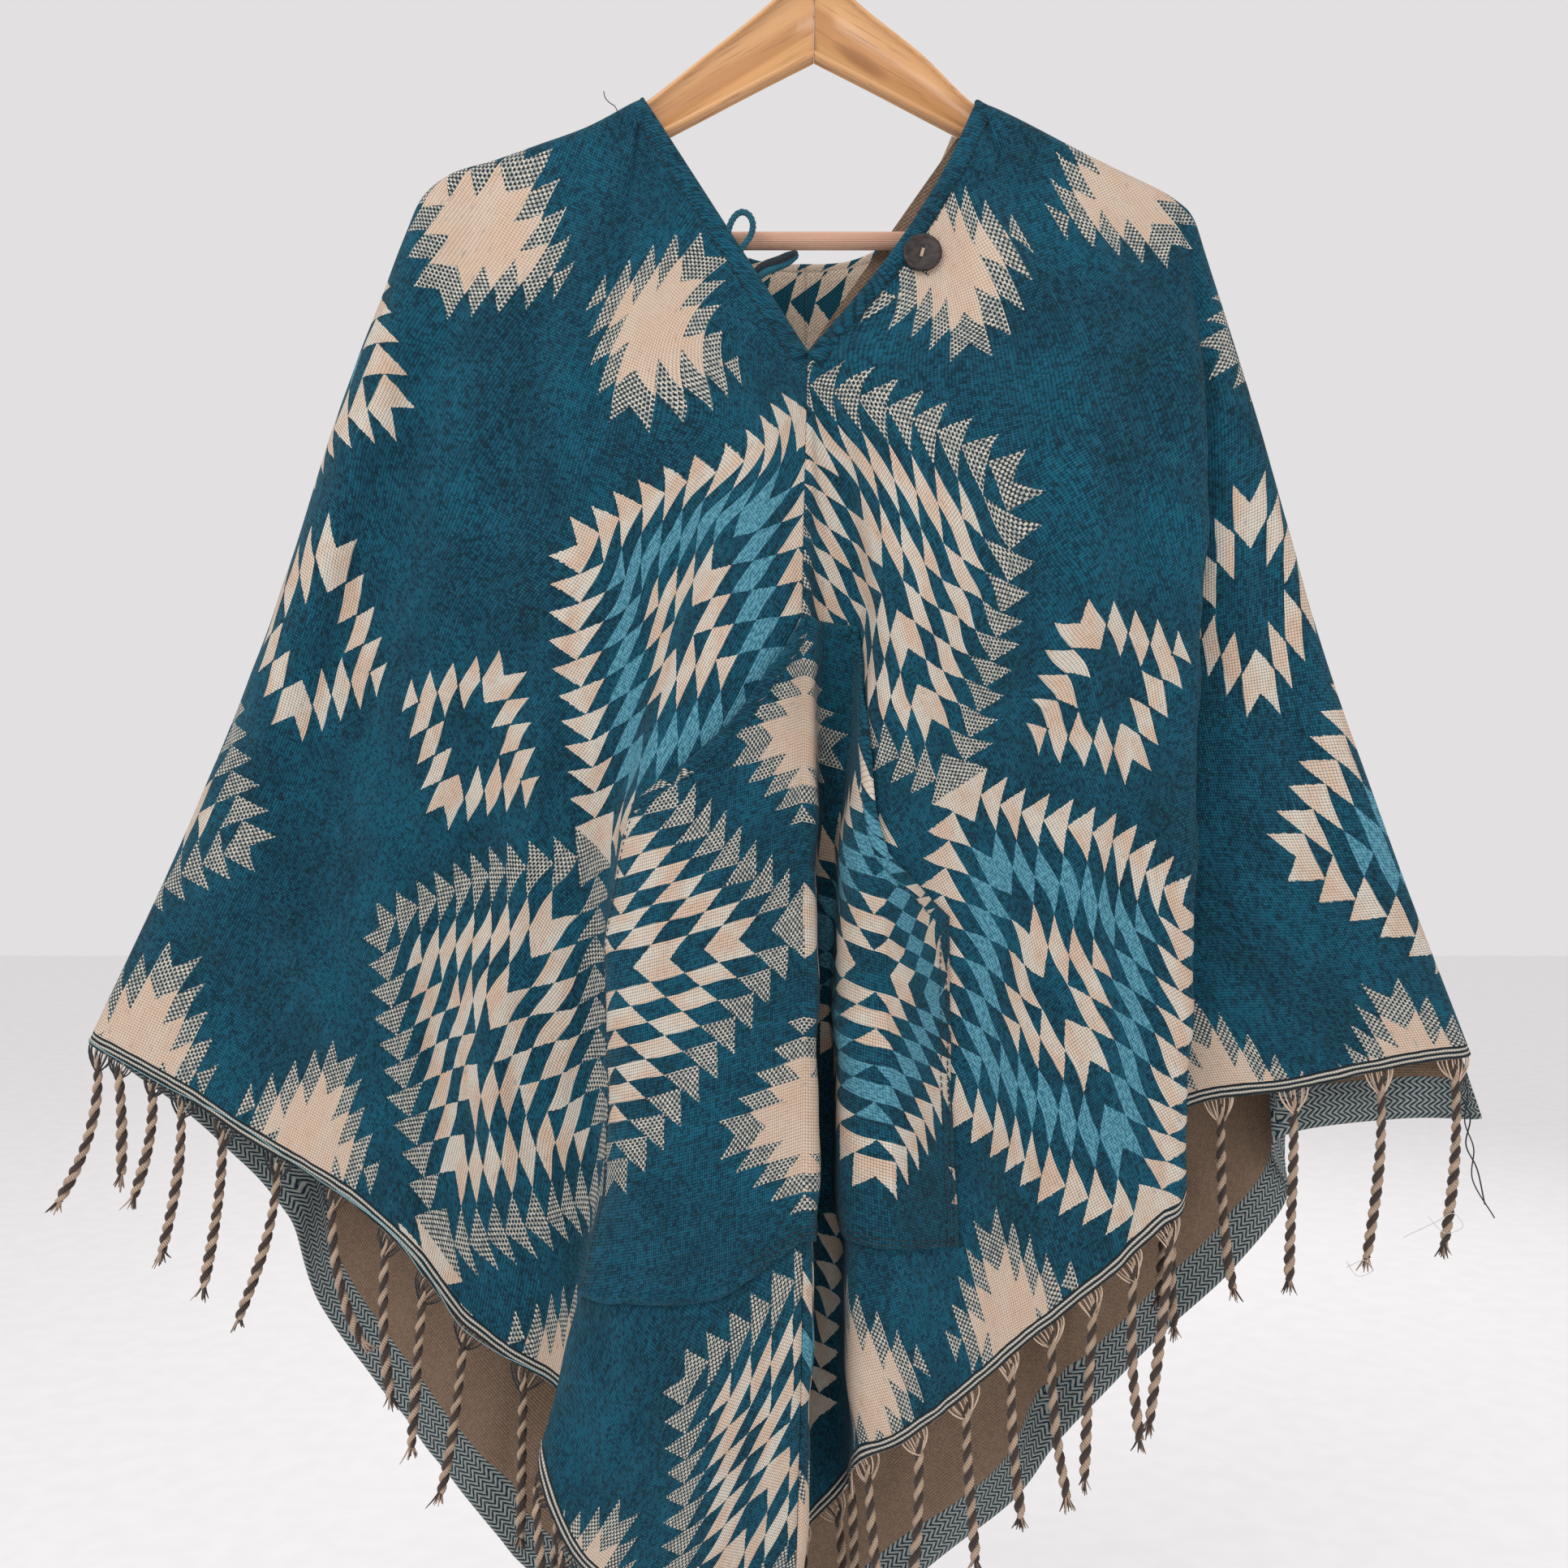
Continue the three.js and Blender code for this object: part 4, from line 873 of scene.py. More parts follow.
def cloth_material(name, inside=False, border=None, ground=(TAN, TAN_DARK), bare=False):
    """The blanket cloth. border is None, "heading" or "selvedge", ground the light and dark colour of
    the inside, by default the dark tan that is painted shade, and bare cloth has no motifs."""
    material, tree, shader = new_material(
        name, 0.93, sheen=0.10,
        sockets={"Specular IOR Level": 0.18, "Sheen Tint": (0.55, 0.72, 0.78, 1)})
    warp, weft = uv_fields(tree, "weave")
    from_hem, along_hem = uv_fields(tree, "edge")
    on_cloth = place_of(tree, warp, weft)
    wander = (noise(tree, on_cloth, 520, 1.0) - 0.5) * (2.2 * MM)
    sway = (noise(tree, on_cloth, 24, 2.0) - 0.5) * (5 * MM)
    side = {"heading": FRONT, "selvedge": BACK}.get(border)
    cream, blue, speckled, star = motifs(warp + wander + sway, weft + sway, side)
    relief = weave_relief(warp, weft, YARN)
    blotch = noise(tree, on_cloth, 13, 4.0, stretch=(1, 1.6, 1))
    patch = noise(tree, on_cloth, 55, 4.0, stretch=(0.6, 1.4, 1))
    nap = noise(tree, on_cloth, 420, 3.0, stretch=(0.35, 1, 1), turn=(0, 0, 0.5))
    hair = noise(tree, on_cloth, 330, 2.0, stretch=(0.28, 1, 1), turn=(0, 0, -0.35))
    fleck = noise(tree, on_cloth, 700, 2.0, stretch=(0.5, 1, 1))
    # gap is 1 where the yarns part. Wherever it darkens a colour below, that is painted shade in the
    # weave's hollows.
    gap = (1 - relief).clear_step(0.35, 0.95)
    stitch = each_cell(tree, warp / YARN, weft / YARN)
    teal = blend(tree, (blotch * 0.6 + patch * 0.5).clear_step(0.42, 0.68), TEAL_MILD, TEAL_BRIGHT)
    teal = blend(tree, (nap * 0.7 + patch * 0.5).clear_step(0.62, 0.95) * 0.5, teal, SLATE)
    teal = blend(tree, (1 - hair).clear_step(0.56, 0.76) * 0.35, teal, SKY_DEEP)
    shade = stitch * 0.50 + gap * 0.50 + fleck * 0.40 + nap * 0.50 - blotch * 0.30
    teal = blend(tree, shade.clear_step(0.45, 1.0) * 0.9, teal, TEAL_DEEP)
    teal = blend(tree, hair.clear_step(0.55, 0.72) * 0.45, teal, INKY)
    hue = patch.clear_step(0.35, 0.65)
    shadow = (gap * 0.70 + stitch * 0.22).clear_step(0.15, 0.95) * 0.80
    pale = blend(tree, shadow, blend(tree, hue, PEACH, CREAM), TAN_DARK)
    core_shadow = (gap * 0.70 + stitch * 0.15).clear_step(0.15, 0.95) * 0.70
    core = blend(tree, core_shadow, blend(tree, hue * 0.3, PEACH, CREAM), TAN_DARK)
    dash_row = (warp / YARN).floor()
    dash = ((weft / (2.1 * YARN)) + dash_row * 0.5).fract()
    is_dash = (dash < 0.60) * (relief > 0.24)
    speck = blend(tree, is_dash, SPECK_DARK, blend(tree, nap.clear_step(0.35, 0.65), SPECK_PALE, CREAM))
    # The light blue is mottled by fleck and made lighter on the yarns' crowns: painted light.
    light = blend(tree, (fleck + relief * 0.25).clear_step(0.45, 0.8), SKY_DEEP, SKY)
    if inside:
        # On the inside too, the weave's gaps darken the tan and the teal: painted shade where the yarns
        # part.
        tan = blend(tree, gap * 0.6 + stitch * 0.3 + patch * 0.15, *ground)
        dark = blend(tree, gap, TEAL_BRIGHT, INKY)
        colour = blend(tree, cream.larger(blue), tan, dark)
        colour = blend(tree, speckled * (1 - is_dash) * 0.6, colour, TAN_DARK)
    else:
        colour = blend(tree, cream, teal, pale)
        colour = blend(tree, blue, colour, light)
        colour = blend(tree, speckled, colour, speck)
        colour = blend(tree, star, colour, core)
        fuzz = nap.clear_step(0.58, 0.8) * cream.larger(speckled) * 0.34
        colour = blend(tree, fuzz, colour, teal)
    colour = teal if bare else colour
    height = relief * 0.75 + nap * 0.35
    if border == "heading":
        wave = (noise(tree, on_cloth, 60, 2.0) - 0.5) * (1.6 * MM)
        cords = (from_hem + wave) / (HEADING / 5)
        is_cord = (from_hem + wave) < HEADING
        lay = ((along_hem + from_hem * 0.6) / (1.7 * MM)).fract()
        cord_colour = blend(tree, cords.floor().odd(), INKY, CREAM)
        cord_colour = blend(tree, (lay < 0.25) * 0.6, cord_colour, INKY)
        colour = blend(tree, is_cord, colour, cord_colour)
        height = height.without(is_cord) + is_cord * abs((cords * math.pi).sine()) * 2
    if border == "selvedge":
        is_edge = from_hem < SELVEDGE
        zigzag = abs((from_hem / (7 * MM)).fract() - 0.5) * (9 * MM)
        stripe = ((along_hem + zigzag) / (3.4 * MM)).fract()
        tooth = ((from_hem / YARN).floor() * 0.5 + stripe).fract()
        edge_colour = blend(tree, stripe < 0.52, INKY, STRIPE_GREY)
        edge_colour = blend(tree, (tooth > 0.8) * 0.7, edge_colour, STRIPE_BLUE)
        colour = blend(tree, is_edge, colour, edge_colour)
        height = height.without(is_edge) + is_edge * (stripe < 0.52)
    paint(tree, shader, colour)
    add_bump(tree, shader, height, 0.7 * MM, 0.85)
    return material


cloth_front = cloth_material("cloth_front", border="heading")
cloth_front_inside = cloth_material("cloth_front_inside", inside=True, border="heading")
cloth_back = cloth_material("cloth_back", border="selvedge")
cloth_back_inside = cloth_material("cloth_back_inside", inside=True, border="selvedge")
cloth_plain = cloth_material("cloth_plain")
cloth_plain_inside = cloth_material("cloth_plain_inside", inside=True)
cloth_hem = cloth_material("cloth_hem", bare=True)
# The hood's inside and its rim get the brighter tan: a lit copy of the inside, painted light.
cloth_hood_inside_lit = cloth_material("cloth_hood_inside_lit", inside=True, ground=HOOD_TAN_LIT)
print("nodes in the cloth's material", len(cloth_front.node_tree.nodes))

# %% [markdown]
# Now the four panels. Each is one sheet on its grid, given its thickness by Solidify,
# with the inside in its own material. Left and right are cut from opposite ends of the
# blanket, so the lattice starts at A on the left and runs the other way on the right.
# The two back panels mirror each other.

# %% Body panels
MOTIF_A = {
    "front_left": (411, 225, 1), "front_right": (149, 216, -1),
    "back_left": (411, 225, 1), "back_right": (411, 225, 1),
}


def weave_map(name, warp, weft):
    """Cloth coordinates as the pattern reads them: from the centre of motif A."""
    warp_at, weft_at, way = MOTIF_A[name]
    return np.stack([(warp - warp_at) * way, weft - weft_at], axis=-1) * MM


def hem_map(points):
    """Distance from the hem, and place along it. The distance is the length down a
    column times the sine of the angle at which the column meets the hem, and the
    cosine's share moves the place along."""
    length = length_along(points[::-1])[::-1]
    hem = points[-1]
    run = length_along(hem)
    along, up = unit(np.gradient(hem, axis=0)), unit(points[-5] - hem)
    cosine = np.einsum("ij,ij->i", along, up)
    return np.stack([length * np.sqrt(1 - cosine ** 2), run + length * cosine], axis=-1)


def make_panel(name):
    """A panel of the body as a sheet with its two materials."""
    panel, shape = PANELS[name][0], shapes[name]
    is_front = panel["side"] == FRONT
    materials = [cloth_front, cloth_front_inside] if is_front else [cloth_back, cloth_back_inside]
    weave = weave_map(name, shape["warp"], shape["weft"])
    edge = hem_map(shape["points"]) * MM
    obj = cloth_sheet(f"{name}_cloth", shape["points"], shape["normals"], materials, weave, edge)
    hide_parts(name)
    return obj


panels = {name: make_panel(name) for name in PANELS}
print({name: len(obj.data.polygons) for name, obj in panels.items()})

# %% [markdown]
# The pocket is a patch of the same cloth, sewn on over both fronts with the blanket
# turned on its side, so its warp runs across. It follows the ridges and dips into the
# valley between them. So it is worked out from the front's own surface: a range of
# heights on each line, moved out square to the cloth. Its lower part stands off a
# little, as a sagging pocket does, and its slanted sides are the hand openings.

# %% Pocket surface
# For each line it crosses: top height, low height, and how far it stands off.
POCKET_LEFT = [(-552, -814, 0), (-530, -813, 6), (-478, -809, 6.4), (-448, -780, 0.6)]
POCKET_RIGHT = [
    (-448, -780, 0.6), (-449, -781, 0.4), (-450, -784, 0), (-452, -784, 0),
    (-502, -785, 0.6), (-578, -787, 4.5), (-612, -788, 0),
]
POCKET_LEFT_FIRST = [row[0] for row in FRONT_LEFT].index("ridge_left")
FRONT_RIGHT_NAMES = [row[0] for row in FRONT_RIGHT]
POCKET_ROWS = 84
POCKET_CLEAR = 2.5


def pocket_part(name, table, first):
    """Points of the pocket over one front: columns at even shares of u, each from its
    top to its low level; the levels are blended between neighbouring lines."""
    panel, creases, seed = PANELS[name]
    table = np.array(table, dtype=float)
    lines = first + np.arange(len(table))
    fall = panel["hem"][lines] - panel["top"][lines]
    level_top = (table[:, 0] - panel["top"][lines]) / fall
    level_low = (table[:, 1] - panel["top"][lines]) / fall
    columns = panel_columns(panel)
    columns = columns[(columns >= lines[0]) & (columns <= lines[-1])]
    top = np.interp(columns, lines, level_top)
    low = np.interp(columns, lines, level_low)
    down = np.linspace(0, 1, POCKET_ROWS)[:, None]
    u, v = np.broadcast_arrays(columns, top + (low - top) * down)
    points, _ = draped(panel, creases, seed, u, v)
    return points, np.interp(columns, lines, table[:, 2]), columns


left_points, left_lift, _ = pocket_part("front_left", POCKET_LEFT, POCKET_LEFT_FIRST)
right_points, right_lift, right_columns = pocket_part("front_right", POCKET_RIGHT, 0)
under_pocket = np.concatenate([left_points, right_points[:, 1:]], axis=1)
lift = np.concatenate([left_lift, right_lift[1:]])
from_low = np.linspace(1, 0, POCKET_ROWS)[:, None]
off = POCKET_CLEAR + lift * np.minimum(1, from_low * 6)
pocket_points = under_pocket + outward(under_pocket, FRONT) * off[..., None]
pocket_normals = outward(pocket_points, FRONT)
seam_column = left_points.shape[1] - 1
print("pocket columns", pocket_points.shape[1], "seam at", seam_column)

# %% Pocket cloth
POCKET_CENTRE_Z = -612
POCKET_DROOP = 0.2
POCKET_RISE = 0.94
POCKET_LEFT_SHARE = 1.3
RIGHT_CREST_WEAVE = 142
BEYOND_CREST_SHARE = 2.1


def pocket_map(points, seam, crest):
    """Pattern coordinates: the warp is the length along a row from the seam, where two
    diamonds touch, and the weft is the height, which droops a little to both sides. On
    the right, every row reaches the crest of its ridge at the same place of the
    pattern, and the cloth beyond it turns away, so the pattern runs faster there."""
    run = length_along(points[..., :2], axis=1)
    run -= run[:, seam:seam + 1]
    right = run * RIGHT_CREST_WEAVE / run[:, crest:crest + 1]
    right += np.maximum(right - RIGHT_CREST_WEAVE, 0) * (BEYOND_CREST_SHARE - 1)
    along = np.where(run < 0, run * POCKET_LEFT_SHARE, right)
    weft = (points[..., 2] - POCKET_CENTRE_Z + POCKET_DROOP * np.abs(along)) * POCKET_RISE
    return np.stack([11 * STEP_WARP - along, weft], axis=-1) * MM


right_crest = seam_column + int(np.searchsorted(right_columns, FRONT_RIGHT_NAMES.index("ridge_crest")))
pocket_weave = pocket_map(pocket_points, seam_column, right_crest)
pocket = cloth_sheet("pocket_cloth", pocket_points, pocket_normals,
                     [cloth_plain, cloth_plain_inside], pocket_weave, pocket_weave)
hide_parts("pocket")
print("pocket faces", len(pocket.data.polygons))

# %% [markdown]
# The hood hangs behind the neck as an open pouch: an outer layer from the rim down to
# the fold, and an inner layer back up to the neck seam. It lies on the back panels, so
# first a relief map of the back is taken from its own points: the furthest depth in
# small cells, widened and smoothed, so the hood rests on the folds and never in them.

# %% Relief of the back
CELL = 8
RELIEF_FROM = np.array([-260.0, -620.0])
RELIEF_CELLS = (66, 62)


def back_relief():
    """The furthest depth of the back in each cell, widened by two cells and smoothed."""
    relief = np.zeros(RELIEF_CELLS)
    for name in ("back_left", "back_right"):
        points = shapes[name]["points"].reshape(-1, 3)
        cell = ((points[:, [0, 2]] - RELIEF_FROM) / CELL).astype(int)
        inside = np.all((cell >= 0) & (cell < RELIEF_CELLS), axis=1)
        np.maximum.at(relief, tuple(cell[inside].T), points[inside, 1])
    shifts = [(a, b) for a in (-2, -1, 0, 1, 2) for b in (-2, -1, 0, 1, 2)]
    relief = np.max([np.roll(relief, s, axis=(0, 1)) for s in shifts], axis=0)
    for _ in range(2):
        relief = np.mean([np.roll(relief, s, axis=(0, 1)) for s in shifts], axis=0)
    return relief


RELIEF = back_relief()


def back_depth(x, z):
    """The relief at a place, blended between its four cells."""
    a, b = (x - RELIEF_FROM[0]) / CELL - 0.5, (z - RELIEF_FROM[1]) / CELL - 0.5
    i = np.clip(np.floor(a).astype(int), 0, RELIEF_CELLS[0] - 2)
    j = np.clip(np.floor(b).astype(int), 0, RELIEF_CELLS[1] - 2)
    s, t = np.clip(a - i, 0, 1), np.clip(b - j, 0, 1)
    low = RELIEF[i, j] * (1 - s) + RELIEF[i + 1, j] * s
    high = RELIEF[i, j + 1] * (1 - s) + RELIEF[i + 1, j + 1] * s
    return low * (1 - t) + high * t


print("the back stands out by, mm", round(float(RELIEF.max()), 1))

# %% Hood
HOOD_RIM_LOW, HOOD_RIM_HIGH = -228, -156
HOOD_HALF_WIDTH, HOOD_MIDDLE, HOOD_DEPTH = 136, -300, 214
HOOD_SWEEP = math.radians(128)
HOOD_OPEN, HOOD_FOLD = 24, 3.2
HOOD_OFF_BACK, HOOD_BEND_DOWN = 2.6, 0.012
# How far inside the corner of the neck the rim and the seam at the neck end.
RIM_INSIDE, SEAM_INSIDE = 8, 6
HOOD_COLUMNS, HOOD_OUTER, HOOD_INNER = 44, 62, 48
# The halves all but touch at the seam, so that no light shows between them.
HOOD_SEAM = 0.02
HOOD_DRAPES = [(0.25, 1.3), (0.55, 1.1), (0.8, 0.8)]


def hood_half(hand):
    """One half of the pouch as a grid of points, hand -1 left and 1 right.

    s runs from the centre seam to the corner of the neck. The rim rises with the cube
    of s, and the fold at the bottom is an arc of 128 degrees. From rim to fold the
    outer layer bulges by the root of 1 - t to the power 2.2; a few soft drapes, each a
    sine of its own, run down it. The inner layer lies close to the back.
    """
    corner_x, corner_z = (SHOULDER_LEFT if hand < 0 else SHOULDER_RIGHT)[0]
    s = np.linspace(0, 1, HOOD_COLUMNS)
    turn = HOOD_SWEEP * s
    rim_z = HOOD_RIM_LOW + (HOOD_RIM_HIGH - HOOD_RIM_LOW) * s ** 3
    rim = np.stack([CENTRE + hand * (corner_x - RIM_INSIDE) * s, rim_z])
    fold_x = CENTRE + hand * HOOD_HALF_WIDTH * np.sin(turn)
    fold = np.stack([fold_x, HOOD_MIDDLE - HOOD_DEPTH * np.cos(turn)])
    neck_low, neck_high = BACK_NECK_LOW - 2, corner_z - 14
    neck_x = CENTRE + hand * (corner_x - SEAM_INSIDE) * s
    neck = np.stack([neck_x, neck_low + (neck_high - neck_low) * s])
    t = np.linspace(0, 1, HOOD_OUTER)[:, None]
    x, z = rim[0] + (fold[0] - rim[0]) * t, rim[1] + (fold[1] - rim[1]) * t
    bulge = HOOD_OPEN * (1 - 0.8 * s ** 2) * np.sqrt(1 - t ** 2.2)
    drape = sum(deep * np.sin(2 * np.pi * (s * 1.9 + at) + 2.4 * t) * np.sin(np.pi * t) * s
                for at, deep in HOOD_DRAPES)
    outer = np.stack([x, back_depth(x, z) + 2 * HOOD_FOLD + bulge + drape, z], axis=-1)
    q = np.linspace(0, 1, HOOD_INNER)[:, None]
    x, z = fold[0] + (neck[0] - fold[0]) * q, fold[1] + (neck[1] - fold[1]) * q
    inner = np.stack([x, back_depth(x, z) + HOOD_OFF_BACK, z], axis=-1)
    under = fold + (fold - neck) * HOOD_BEND_DOWN
    bend = np.stack([under[0], back_depth(fold[0], fold[1]) + 1.4 * HOOD_FOLD, under[1]], axis=-1)
    points = np.concatenate([outer, bend[None], inner])
    points[:, 0, 0] += hand * HOOD_SEAM
    return points


# The hood is cut on the bias: the row of teeth of a diamond's border runs along its rim.
# These are the row's pattern coordinates on the seam, and how far below the rim it lies.
HOOD_ROW_AT = (5 * STEP_WARP, 5 * STEP_WEFT)
HOOD_ROW_BELOW = 14
ROW_WAY = np.array([-STEP_WARP, STEP_WEFT]) / math.hypot(STEP_WARP, STEP_WEFT)


def hood_map(points, hand):
    """Pattern coordinates from the length down from the rim and the length out from
    the seam: out follows the row of teeth, and down leads away from the diamond."""
    down = length_along(points) - HOOD_ROW_BELOW
    out = length_along(points, axis=1) * hand
    warp = HOOD_ROW_AT[0] + out * ROW_WAY[0] + down * ROW_WAY[1]
    weft = HOOD_ROW_AT[1] + out * ROW_WAY[1] - down * ROW_WAY[0]
    return np.stack([warp, weft], axis=-1) * MM


hoods = {}
for hand, name in HANDS:
    hood_points = hood_half(hand)
    hood_weave = hood_map(hood_points, hand)
    behind = np.broadcast_to((0.0, 1.0, 0.0), hood_points.shape)
    hood = cloth_sheet(f"hood_{name}_cloth", hood_points, behind,
                       [cloth_plain, cloth_hood_inside_lit], hood_weave, hood_weave)
    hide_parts(f"hood_{name}")
    hoods[name] = hood
print("hood faces", {name: len(hood.data.polygons) for name, hood in hoods.items()})

# %% [markdown]
# Cords, stitches and tassels are tubes. A tube is rings of points round a path: at each
# point of the path two directions square to it make the ring. Many tubes go into one
# mesh, so that the piece stays one object.

# %% Tubes


def square_ways(path, across):
    """At each point of a path, a direction square to the path and to across, and one
    square to the path and to the first."""
    along = unit(np.gradient(path, axis=0))
    right = unit(np.cross(np.broadcast_to(across, along.shape), along))
    return right, np.cross(along, right)


def rings(path, radii, sides, across=(0, 1, 0)):
    """Rings round a path, shape (points, sides, 3)."""
    path = np.asarray(path, dtype=float)
    right, front = square_ways(path, across)
    angle = 2 * np.pi * (np.arange(sides) + 0.5) / sides
    radii = np.broadcast_to(radii, len(path))[:, None, None]
    turned = np.cos(angle)[:, None] * right[:, None] + np.sin(angle)[:, None] * front[:, None]
    return path[:, None] + radii * turned


def curve(points, steps):
    """A smooth line through points, as a row of that many steps."""
    points = np.asarray(points, dtype=float)
    padded = np.concatenate([[2 * points[0] - points[1]], points, [2 * points[-1] - points[-2]]])
    t = np.linspace(0, len(points) - 1, steps)
    i = np.minimum(t.astype(int), len(points) - 2)
    s = (t - i)[:, None]
    return cubic(*(padded[i + k] for k in range(4)), s)


class Pile:
    """Closed tubes gathered for one mesh, each with a material number."""

    def __init__(self):
        self.points, self.quads, self.fans, self.maps, self.slots = [], [], [], [], []
        self.count = 0

    def add(self, loop, slot=0):
        """Adds closed rings, shape (n, sides, 3), with a middle point at both ends. The
        map is the length along the tube in metres and the share of the turn."""
        n, sides = loop.shape[:2]
        ends = loop[[0, -1]].mean(axis=1)
        along = length_along(loop.mean(axis=1)) * MM
        grid = np.stack(np.broadcast_arrays(along[:, None], np.arange(sides) / sides), axis=-1)
        points = np.concatenate([loop.reshape(-1, 3), ends])
        self.points.append(points)
        self.maps.append(np.concatenate([grid.reshape(-1, 2), [[0, 0.5], [along[-1], 0.5]]]))
        quads = grid_faces(n, sides, closed=True)
        k = np.arange(sides)
        first, last = n * sides, n * sides + 1
        start = np.stack([np.full(sides, first), (k + 1) % sides, k], axis=1)
        base = (n - 1) * sides
        end = np.stack([np.full(sides, last), base + k, base + (k + 1) % sides], axis=1)
        fans = np.concatenate([start, end])
        a, b, c = (points[quads[:, corner]] - ends[0] for corner in range(3))
        if np.einsum("ij,ij->i", a, np.cross(b, c)).sum() < 0:
            quads, fans = quads[:, ::-1], fans[:, ::-1]
        self.quads.append(quads + self.count)
        self.fans.append(fans + self.count)
        self.slots.append((np.full(len(quads), slot), np.full(len(fans), slot)))
        self.count += n * sides + 2

    def mesh(self, name, materials):
        """The object of all tubes so far, from millimetres."""
        slots = np.concatenate([a for a, _ in self.slots] + [b for _, b in self.slots])
        return new_mesh(name, np.concatenate(self.points) * MM, np.concatenate(self.quads), materials,
                        {"yarn": np.concatenate(self.maps)}, slots, np.concatenate(self.fans))


def plies(path, pitch, offset, count, start=0.0, across=(0, 1, 0)):
    """Paths of count plies that wind round a path, offset from it, once in each pitch."""
    path = np.asarray(path, dtype=float)
    right, front = square_ways(path, across)
    run = length_along(path)
    offset = np.broadcast_to(offset, len(path))[:, None]
    for k in range(count):
        angle = (2 * np.pi * (run / pitch + k / count) + start)[:, None]
        yield path + offset * (np.cos(angle) * right + np.sin(angle) * front)


print("tube helpers ready")

# %% [markdown]
# Yarn and thread are fibres laid at a slant. The tube's own map gives the length and
# the turn, and their sum makes the slanted lay. Hairs and knots are noise.

# %% Yarn materials


def yarn_material(name, dark, light, lay=1.1 * MM, roughness=0.9):
    """Twisted yarn: fibres at a slant between a dark and a light colour."""
    material, tree, shader = new_material(name, roughness, 0.2, {"Specular IOR Level": 0.2})
    length, turn = uv_fields(tree, "yarn")
    slant = abs(((length / lay + turn * 2) * math.pi).sine())
    cloud = noise(tree, object_point(tree), 160, 3.0)
    colour = blend(tree, (slant * 0.6 + cloud * 0.7).clear_step(0.35, 0.95), dark, light)
    paint(tree, shader, colour)
    add_bump(tree, shader, slant * 0.7 + cloud * 0.4, 0.35 * MM, 0.8)
    return material


yarn_dark = yarn_material("yarn_dark", (0.016, 0.012, 0.011), (0.075, 0.052, 0.042))
yarn_beige = yarn_material("yarn_beige", (0.20, 0.135, 0.095), (0.50, 0.37, 0.27))
yarn_peach = yarn_material("yarn_peach", (0.42, 0.29, 0.21), (0.72, 0.55, 0.43))
yarn_teal = yarn_material("yarn_teal", (0.006, 0.035, 0.055), (0.02, 0.14, 0.20))
yarn_inky = yarn_material("yarn_inky", (0.006, 0.008, 0.010), (0.03, 0.04, 0.05))
thread_white = yarn_material("thread_white", (0.62, 0.60, 0.56), (0.85, 0.83, 0.80), lay=0.5 * MM)
thread_blue = yarn_material("thread_blue", (0.16, 0.42, 0.50), (0.38, 0.66, 0.72), lay=0.5 * MM)
print("yarns", [m.name for m in bpy.data.materials if m.name.startswith(("yarn", "thread"))])

# %% [markdown]
# The fringe is the blanket's own warp: below the heading its threads are gathered by
# hand in groups, fan together over a centimetre and are twisted into tassels of a dark
# and a beige ply, which end in a cut, flared brush. The table gives each tassel's place
# along the hem, its lean and its length, as the hand left them.

# %% Where the tassels hang
# Share of the hem from the sleeve, sideways lean of the tip, length.
TASSELS_LEFT = [
    (0.02, -22, 84), (0.045, 3, 62), (0.085, -8, 64), (0.12, -8, 86), (0.17, -7, 90),
    (0.235, -18, 88), (0.3, 20, 82), (0.37, 5, 88), (0.43, -6, 90), (0.49, -14, 90),
    (0.56, -5, 92), (0.62, -7, 86), (0.7, 4, 90), (0.76, -6, 92), (0.82, 5, 88),
    (0.87, -4, 92), (0.92, 6, 90), (0.97, -3, 94),
]
TASSELS_RIGHT = [
    (0.02, -6, 104), (0.09, -6, 104), (0.17, 1, 106), (0.235, 11, 106), (0.29, -4, 96),
    (0.33, 3, 88), (0.385, -10, 108), (0.43, 4, 98), (0.475, -6, 100), (0.52, 6, 92),
    (0.565, 2, 84), (0.615, 1, 86), (0.665, -9, 80), (0.715, 3, 88), (0.765, -4, 90),
    (0.83, 2, 84), (0.875, -3, 86), (0.93, 4, 90), (0.98, -2, 92),
]
ROOT_BELOW = 4.75


def hem_line(name):
    """The hem from the sleeve to the centre, its lengths, and the way down from it."""
    shape = shapes[name]
    points, above, normals = shape["points"][-1], shape["points"][-3], shape["normals"][-1]
    if PANELS[name][0]["names"][0] == "centre_seam":
        points, above, normals = points[::-1], above[::-1], normals[::-1]
    along = unit(np.gradient(points, axis=0))
    down = unit(np.cross(along, normals))
    down *= np.sign(np.einsum("ij,ij->i", down, points - above))[:, None]
    return points, length_along(points), down


def at_length(run, values, where):
    """Values at a length along a line, each coordinate on its own."""
    where = np.atleast_1d(where)
    return np.stack([np.interp(where, run, values[:, k]) for k in range(3)], axis=-1)


print("hem lengths, mm", {n: round(float(hem_line(n)[1][-1])) for n in ("front_left", "front_right")})

# %% Tassels
TWIST_PITCH = 13.5
PLY_RADIUS, PLY_OFFSET = 1.75, 1.35
ROOT_THREADS, END_THREADS = 11, 13
TASSEL_STEPS = 64
# How thick a tassel is down its length: share of the length, share of the full radius.
SWELL_AT, SWELL = [0, 0.1, 0.5, 0.93, 1], [0.45, 0.85, 1.0, 1.05, 0.8]
ROOT_RADII = [0.42, 0.5, 0.55, 0.6, 0.6, 0.5]
BRUSH_RADII = [0.75, 0.7, 0.55, 0.25]
BEIGE_SHARE = 0.42


def tassel_path(root, at, lean, drop):
    """The line of a tassel: it leans with the square of its share and sways by a small
    sine, and falls evenly."""
    t = np.linspace(0, 1, TASSEL_STEPS)
    sway = lean * t ** 2 + 2 * np.sin(3 * t + 7 * at) - 2 * math.sin(7 * at)
    return np.stack([root[0] + sway, np.full_like(t, root[1]), root[2] + 1.6 - drop * t], axis=-1)


